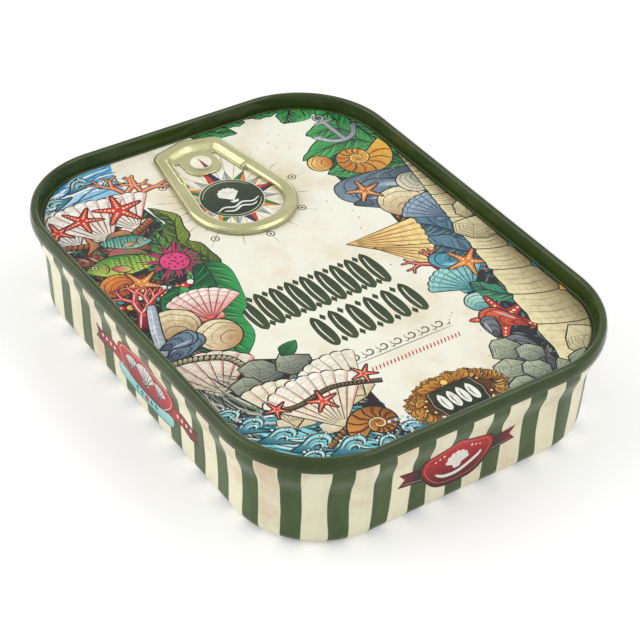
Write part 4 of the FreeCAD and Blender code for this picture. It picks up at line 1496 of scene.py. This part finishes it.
def wall_place(height):
    """Inset and outward direction of the body's wall at a height."""
    rows = [(p.imag, p.real, way) for p, way in body_profile() if p.imag > 1.0]
    for one, two in zip(rows, rows[1:]):
        if one[0] <= height <= two[0] and two[0] > one[0]:
            share = (height - one[0]) / (two[0] - one[0])
            way = one[2] * (1 - share) + two[2] * share
            return one[1] + (two[1] - one[1]) * share, way / abs(way)
    return NECK, -1 + 0j


def wall_badge(name, sheet, outward, reach, material):
    """A sheet (run to the right, height) laid on a straight wall of the body."""
    levels = [[complex(-30, z), complex(30, z)] for z in np.arange(*BADGE_LEVELS)]
    spots, triangles, owners = sheet.settle(levels)
    kept = [(t, o) for t, o in zip(triangles, owners) if o > 0]
    points, normals = [], []
    for spot in spots:
        inset, way = wall_place(spot.y)
        place = outward * (reach - inset - way.real * BADGE_LIFT) + outward * 1j * spot.x
        points.append((place.real, place.imag, spot.y + way.imag * BADGE_LIFT))
        level = -outward * way.real
        normals.append((level.real, level.imag, way.imag))
    piece = build(name, points, [tuple(t) for t, _ in kept], material, normals)
    sheet.colour(piece.data, [o for _, o in kept], outward * 1j)
    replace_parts(piece, "can_body")
    return piece


def on_side(middle, side, places):
    """Places (out, up) from a badge's middle, on its right (1) or its left (-1)."""
    return [middle + complex(side * x, y) for x, y in places]


def cushion(centre, wide, high):
    """The badge's outline: a soft cushion with a point at the top's middle."""
    half = [0 - 0.5j, 0.2 - 0.47j, 0.34 - 0.36j, 0.47 - 0.12j, 0.52 + 0.1j, 0.46 + 0.28j, 0.3 + 0.34j,
            0.12 + 0.42j, 0.03 + 0.5j]
    half = smooth(half, 4, closed=False)
    return [centre + complex(p.real * wide, p.imag * high) for p in mirrored(half)]


def front_badge():
    """A red badge with a plain scallop, on a dark ribbon with forked ends."""
    sheet = Print(BADGE_SHEET)
    middle = -1.7 + 9.6j
    for side in (-1, 1):
        ribbon = ((6, 1.5), (9, 1.9), (12.6, 2.4), (11.3, 0.9), (12.7, -0.6), (9, -1.2), (6, -1.7))
        paint = tone("#222420", "#8c1a22", middle + 9.5 * side, middle + 11.6 * side)
        sheet.shape(on_side(middle, side, ribbon), paint, 0.14)
        sheet.line(on_side(middle, side, ((6.5, -1.1), (9, -0.75), (11.8, -0.2))), 0.12, "#d6beb4")
    sheet.fill(cushion(middle, 15.6, 10.6), "#361012")
    sheet.fill(cushion(middle, 14.9, 9.9), tone("#5c0e16", "#c42426", middle - 3.2j, middle + 2.5j))
    sheet.ring(cushion(middle, 13.7, 8.7), 0.12, "#e28074")
    white = "#f8f4ec"
    foot = (-1.0 + 0.3j, 1.0 + 0.3j, 0.6 - 0.55j, -0.6 - 0.55j)
    plain_fan(sheet, middle - 1.1j, 1.0, 0j, 19, (3.5, 0.06), 0.3 - 0.5j, foot, white)
    swoosh = laid(middle, 1, (-4.6 - 1.4j, -2.6 - 2.6j, 0.6 - 2.7j, 4.4 - 0.9j, 5.2 + 0.1j))
    sheet.line(smooth(swoosh, 5, closed=False), 0.8, white, 0.15)
    for side in (-1, 1):
        for k in range(3):
            spot = middle + complex(side * (3.0 + 0.9 * k), 2.3 - 0.3 * k)
            sheet.dot(spot, 0.26 - 0.04 * k, white, steps=8)
    return sheet


def side_badge():
    """A red emblem with white shells over an aqua banner, on a red ribbon."""
    sheet = Print(BADGE_SHEET)
    middle = 2.3 + 9.5j
    red, dark = "#ce262c", "#78121c"
    for side in (-1, 1):
        ribbon = (
            (7, 1.9), (10, 1.0), (13, 1.5), (16.4, 0.7), (18.4, 1.3), (17.6, -0.4), (18.6, -1.9),
            (15.6, -2.3), (12.8, -1.3), (10, -1.9), (7, -0.9),
        )
        paint = tone(red, dark, middle + 8 * side, middle + 16 * side)
        sheet.shape(on_side(middle, side, ribbon), paint, 0.14)
        for k in range(4):
            lozenge(sheet, middle + complex(side * (11.4 + 1.5 * k), -0.1), 0.45, 0.5, "#f6ece2")
    banner = (
        -9.4 - 1.9j, -4.5 - 2.9j, 0 - 3.1j, 4.5 - 2.9j, 9.4 - 1.9j,
        9.4 - 4.4j, 4.5 - 5.2j, -5.3j, -4.5 - 5.2j, -9.4 - 4.4j,
    )
    sheet.shape(cushion(middle + 0.5j, 19.4, 9.6), tone(dark, red, middle - 3j, middle + 1j), 0.22)
    sheet.ring(cushion(middle + 0.5j, 17.9, 8.3), 0.14, "#f6e2d8")
    aqua = tone("#6cc4c4", "#c4e8e2", middle - 5.2j, middle - 2j)
    sheet.shape(smooth(laid(middle, 1, banner), 3), aqua, 0.18)
    for k in (-2, -1, 1, 2):
        lozenge(sheet, middle + complex(1.7 * k, -4.15 + 0.06 * k * k), 0.55, 0.62, "#1e5c60")
    sheet.dot(middle - 4.2j, 0.7, red, steps=10)
    pale, grey, rib = "#faf8f2", "#c4c4be", "#ce7874"
    scallop(sheet, middle - 1.2j, 90, 4.4, pale, grey, rib, 7, 52)
    for side in (-1, 1):
        scallop(sheet, middle + complex(4.7 * side, -0.6), 90 - 14 * side, 3.0, pale, grey, rib, 5, 46)
    return sheet


# ---------------------------------------------------------------- the ring pull

PULL_TIP, PULL_END, RIM_TOP = 47.62, 13.22, 21.1
PULL_LEAN, NOSE_FALL = math.radians(9.5), math.radians(16)
PULL_HALF = 0.5 + 10.7 / math.tan(math.radians(90) / 2 - PULL_LEAN / 2)
NOSE_PEAK = PULL_TIP + 6.0 * (1 / math.cos(NOSE_FALL) - 1)
DISH_DEPTH = 0.9


def pull_side(inset, height):
    """How far out the pull's side is, moved in, at a place along the tin."""
    return PULL_HALF - inset / math.cos(PULL_LEAN) - math.tan(PULL_LEAN) * (height - PULL_END)


def round_loop(corners, step=0.34):
    """A closed outline of (place, radius) corners, with points at even steps."""
    bends = []
    for k, (here, radius) in enumerate(corners):
        before, after = here - corners[k - 1][0], corners[(k + 1) % len(corners)][0] - here
        one, two = before / abs(before), after / abs(after)
        turn = cmath.phase(two / one)
        side = 1j if turn > 0 else -1j
        centre = here - one * radius * math.tan(abs(turn) / 2) + one * side * radius
        parts = max(3, round(abs(turn) * radius / step)) if radius else 0
        for j in range(parts + 1):
            bends.append(centre - one * cmath.exp(1j * turn * j / max(parts, 1)) * side * radius)
    points = []
    for one, two in zip(bends, bends[1:] + bends[:1]):
        parts = max(1, round(abs(two - one) / step))
        points += [one + (two - one) * j / parts for j in range(parts)]
    return points


def both_sides(half):
    """Corners on the right, from the nose to the wide end, with their mirror images."""
    return half + [(-place.conjugate(), radius) for place, radius in half[::-1] if abs(place.real) > 1e-9]


def pull_loops():
    """The pull's outline and its finger hole with the slots beside the tongue."""
    shoulder = pull_side(0, NOSE_PEAK) / (1 - math.tan(NOSE_FALL) * math.tan(PULL_LEAN))
    shoulder = complex(shoulder, NOSE_PEAK - math.tan(NOSE_FALL) * shoulder)
    outer = [(complex(0, NOSE_PEAK), 6.0), (shoulder, 2.4), (complex(PULL_HALF, PULL_END), 10.7)]
    mouth, slot, tail = PULL_TIP - 14.2, PULL_TIP - 5.9, RIVET.imag - 3.8
    hole = [
        (complex(3.75, tail), 3.0),
        (complex(3.75, slot), 0.5),
        (complex(pull_side(3.5, slot), slot), 0.5),
        (complex(pull_side(3.5, mouth), mouth), 0),
        (complex(pull_side(2.9, mouth), mouth), 0),
        (complex(pull_side(2.9, PULL_END + 2.9), PULL_END + 2.9), 7.8),
    ]
    return round_loop(both_sides(outer)), round_loop(both_sides(hole))


def distance_from(spots, outline):
    """How far places are from an outline."""
    nearest = np.full(len(spots), 1e9)
    for one, two in zip(outline, outline[1:] + outline[:1]):
        along = ((spots - one) * (two - one).conjugate()).real / abs(two - one) ** 2
        nearest = np.minimum(nearest, abs(spots - one - (two - one) * np.clip(along, 0, 1)))
    return nearest


def rolled_edge(distance, radius):
    """How much lower an edge is that is rolled over."""
    over = np.clip(radius - distance, 0, radius)
    return radius - np.sqrt(radius ** 2 - over ** 2)


def eased(value):
    """0 to 1 with a soft start and end."""
    value = np.clip(value, 0, 1)
    return value * value * (3 - 2 * value)


def pull_top(spots, outer, hole):
    """The height of the pull's top, with its rolled edges and the dish below the nose."""
    across, along = abs(spots.real), spots.imag
    side = (PULL_HALF - math.tan(PULL_LEAN) * (along - PULL_END) - across) * math.cos(PULL_LEAN)
    peak = NOSE_PEAK - math.tan(NOSE_FALL) * np.sqrt(across ** 2 + 0.7)
    nose = (peak - along) * math.cos(NOSE_FALL)
    down = -np.log(np.exp(-5 * (nose - 1.8) / 2.6) + np.exp(-5 * (side - 1.8) / 1.6)) / 5
    dish = eased(down) * eased((along - PULL_TIP + 14.2) / 1.3)
    edges = rolled_edge(distance_from(spots, outer), 0.95)
    edges = edges + rolled_edge(distance_from(spots, hole), 0.15 + 0.6 * (1 - dish))
    return RIM_TOP - DISH_DEPTH * dish - edges


# Steps in from the outline and out from the hole at which the rolled edges get points.
OUTER_STEPS = (0.05, 0.14, 0.28, 0.48, 0.7, 0.95)
HOLE_STEPS = (0.05, 0.12, 0.26, 0.46, 0.72)
GRID = 0.42
# The walls' levels below the edge: (how far back, height, upward lean).
OUTER_WALL = ((0.0, 20.12, 0.0), (0.07, 19.98, -0.6), (0.22, 19.88, -0.9))
HOLE_WALL = ((0.0, 19.74, 0.0),)
NUDGE = 0.01


def edge_ways(outline, side):
    """An outline as an array, the way inward (side 1) or outward (side -1) at each of its
    points, and whether it runs anticlockwise."""
    loop = np.array(outline)
    way = np.roll(loop, -1) - np.roll(loop, 1)
    turn = np.sum((loop.conjugate() * np.roll(loop, -1)).imag)
    return loop, way / abs(way) * 1j * side * (1 if turn > 0 else -1), turn > 0


def pull_spots(outer, hole):
    """Places over the pull between its outline and its hole, close together at the edges."""
    def on_metal(spots):
        return lies_within(spots, outer) & ~lies_within(spots, hole)

    found = []
    for outline, other, side, steps in ((outer, hole, 1, OUTER_STEPS), (hole, outer, -1, HOLE_STEPS)):
        loop, way, _ = edge_ways(outline, side)
        for step in steps:
            ring = loop + way * step
            keep = (distance_from(ring, outline) > step * 0.97) & (distance_from(ring, other) > 0.06)
            found.append(ring[keep & on_metal(ring)])
    across, along = np.arange(-12, 12.1, GRID), np.arange(13.5, 47.6, GRID)
    grid = (across[None, :] + 1j * along[:, None]).ravel()
    clear = (distance_from(grid, outer) > 1.15) & (distance_from(grid, hole) > 0.9)
    found.append(grid[clear & on_metal(grid)])
    return list(np.concatenate(found))


def pull_normals(spots, outer, hole):
    """The upward direction of the pull's top at places, from how its height changes there."""
    def slope(way):
        rise = pull_top(spots + way, outer, hole) - pull_top(spots - way, outer, hole)
        return rise / (2 * NUDGE)

    normals = []
    for one, two in zip(slope(NUDGE), slope(NUDGE * 1j)):
        size = math.sqrt(one * one + two * two + 1)
        normals.append([-one / size, -two / size, 1 / size])
    return normals


def add_pull_wall(outline, row, side, levels, points, normals, faces):
    """A wall down from a row of the top's points, which lie on the outline."""
    line, way, anticlockwise = edge_ways(outline, side)
    for k, out in zip(row, way):
        normals[k] = [out.real, out.imag, 0.02]
    for inset, height, lean in levels:
        below = []
        for spot, out in zip(line, way):
            below.append(len(points))
            at = spot - out * inset
            points.append((at.real, at.imag, height))
            flatness = math.sqrt(1 - lean * lean)
            normals.append([out.real * flatness, out.imag * flatness, lean])
        for k in range(len(row)):
            on = (k + 1) % len(row)
            quad = (row[k], row[on], below[on], below[k])
            faces.append(quad if anticlockwise == (side > 0) else quad[::-1])
        row = below


def ring_pull(material):
    """The pull as one skin: its rolled top, and walls round the outline and the hole."""
    outer, hole = pull_loops()
    flat = [Vector((p.real, p.imag)) for p in outer + hole + pull_spots(outer, hole)]
    loops = [list(range(len(outer))), list(range(len(outer), len(outer) + len(hole)))]
    found = delaunay_2d_cdt(flat, [], loops, 1, 1e-6)
    spots = np.array([complex(p.x, p.y) for p in found[0]])
    middles = np.array([sum(spots[k] for k in face) / len(face) for face in found[2]])
    solid = lies_within(middles, outer) & ~lies_within(middles, hole)
    faces = []
    for face, kept in zip(found[2], solid):
        if kept:
            one, two, three = (spots[k] for k in face[:3])
            upward = ((two - one).conjugate() * (three - one)).imag > 0
            faces.append(tuple(face) if upward else tuple(face[::-1]))
    points = [(p.real, p.imag, z) for p, z in zip(spots, pull_top(spots, outer, hole))]
    normals = pull_normals(spots, outer, hole)
    place_of = {source: k for k, sources in enumerate(found[3]) for source in sources}
    for loop, outline, side, levels in ((loops[0], outer, -1, OUTER_WALL),
                                        (loops[1], hole, 1, HOLE_WALL)):
        row = [place_of[k] for k in loop]
        add_pull_wall(outline, row, side, levels, points, normals, faces)
    piece = build("ring_pull", points, faces, material, normals)
    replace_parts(piece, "ring_pull")
    return piece


# ---------------------------------------------------------------- room and light

def seen_directly(tree):
    """1 for what the camera sees itself, in a mirror or through glass, 0 for other light."""
    rays = tree.nodes.new("ShaderNodeLightPath")
    last = rays.outputs["Is Camera Ray"]
    for name in ("Is Glossy Ray", "Is Transmission Ray"):
        either = tree.nodes.new("ShaderNodeMath")
        either.operation = "MAXIMUM"
        tree.links.new(last, either.inputs[0])
        tree.links.new(rays.outputs[name], either.inputs[1])
        last = either.outputs[0]
    return last


# What the floor shows the camera beside its own shading, so that it looks white.
FLOOR_GLOW = 0.26


def add_floor():
    mesh = bpy.data.meshes.new("floor")
    mesh.from_pydata([(-3, -3, 0), (3, -3, 0), (3, 3, 0), (-3, 3, 0)], [], [(0, 1, 2, 3)])
    floor = bpy.data.objects.new("floor", mesh)
    bpy.context.scene.collection.objects.link(floor)
    n = Nodes("pale_floor")
    glow = n.add("ShaderNodeEmission")
    n.join(n.maths("MULTIPLY", seen_directly(n.tree), FLOOR_GLOW), glow.inputs["Strength"])
    plain = n.add("ShaderNodeBsdfDiffuse")
    plain.inputs["Color"].default_value = (0.86, 0.86, 0.86, 1)
    both = n.add("ShaderNodeAddShader")
    n.join(plain.outputs[0], both.inputs[0])
    n.join(glow.outputs[0], both.inputs[1])
    n.tree.nodes.remove(n.shader)
    n.join(both.outputs[0], n.tree.nodes["Material Output"].inputs["Surface"])
    mesh.materials.append(n.material)


def add_lamp(name, place, aim, size, power):
    data = bpy.data.lights.new(name, "AREA")
    data.shape = "RECTANGLE"
    data.size, data.size_y = size
    data.energy = power
    lamp = bpy.data.objects.new(name, data)
    lamp.location = place
    lamp.rotation_euler = (Vector(aim) - Vector(place)).to_track_quat("-Z", "Y").to_euler()
    bpy.context.scene.collection.objects.link(lamp)


WORLD_LEVEL = 0.5
# Name, place, aim, size and power of each lamp.
LAMPS = [
    ("window", (-0.8, 0.48, 0.55), (0, 0, 0.01), (1.1, 0.9), 5.8),
    ("fill", (0.50, -0.70, 0.70), (0, 0, 0.01), (0.8, 0.5), 3.3),
    ("overhead", (0.45, -0.06, 0.89), (0, 0, 0.02), (0.46, 0.34), 1.2),
    ("behind", (0.49, 0.61, 0.17), (0, 0, 0.02), (0.34, 0.14), 0.4),
    ("strip", (-0.21, 0.37, 0.90), (0, 0, 0.02), (0.10, 0.60), 0.7),
]


def add_light():
    world = bpy.data.worlds.new("studio")
    world.use_nodes = True
    tree = world.node_tree
    level = tree.nodes.new("ShaderNodeMapRange")
    tree.links.new(seen_directly(tree), level.inputs["Value"])
    level.inputs["To Min"].default_value = WORLD_LEVEL
    level.inputs["To Max"].default_value = 1.0
    behind = tree.nodes["Background"]
    tree.links.new(level.outputs[0], behind.inputs["Strength"])
    behind.inputs["Color"].default_value = (1, 1, 1, 1)
    bpy.context.scene.world = world
    for lamp in LAMPS:
        add_lamp(*lamp)


# ---------------------------------------------------------------- the whole scene

# The base's bare metal: below this height and this far in from the seam's outer edge.
BASE_TOP = 0.7
BASE_INSET = 5.3


def main():
    bpy.context.scene.view_settings.view_transform = "Standard"
    add_camera()
    add_floor()
    add_light()

    stripes, olive, print_ink = striped_print(), olive_lacquer(), printed_ink()
    body = swept("tin_wall", body_profile(), [stripes, base_metal()], True, True)
    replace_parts(body, "can_body")
    for polygon in body.data.polygons:
        spot = polygon.center / MM
        level = spot.z < BASE_TOP and abs(polygon.normal.z) > 0.3
        if level and inset_of(complex(spot.x, spot.y))[0] > BASE_INSET:
            polygon.material_index = 1

    end = swept("seam_and_gutter", trimmed_end_profile(), olive)
    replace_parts(end, "lid")

    sheet = Print(offset_loop(panel_slope()[0][0]))
    draw_panel(sheet)
    panel = printed_panel(sheet, print_ink)
    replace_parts(panel, "lid")

    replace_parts(rivet(print_ink), "lid")
    badges = badge_ink()
    wall_badge("front_badge", front_badge(), -1j, HALF_LENGTH, badges)
    wall_badge("left_badge", side_badge(), -1, HALF_WIDTH, badges)

    ring_pull(champagne_metal())


main()
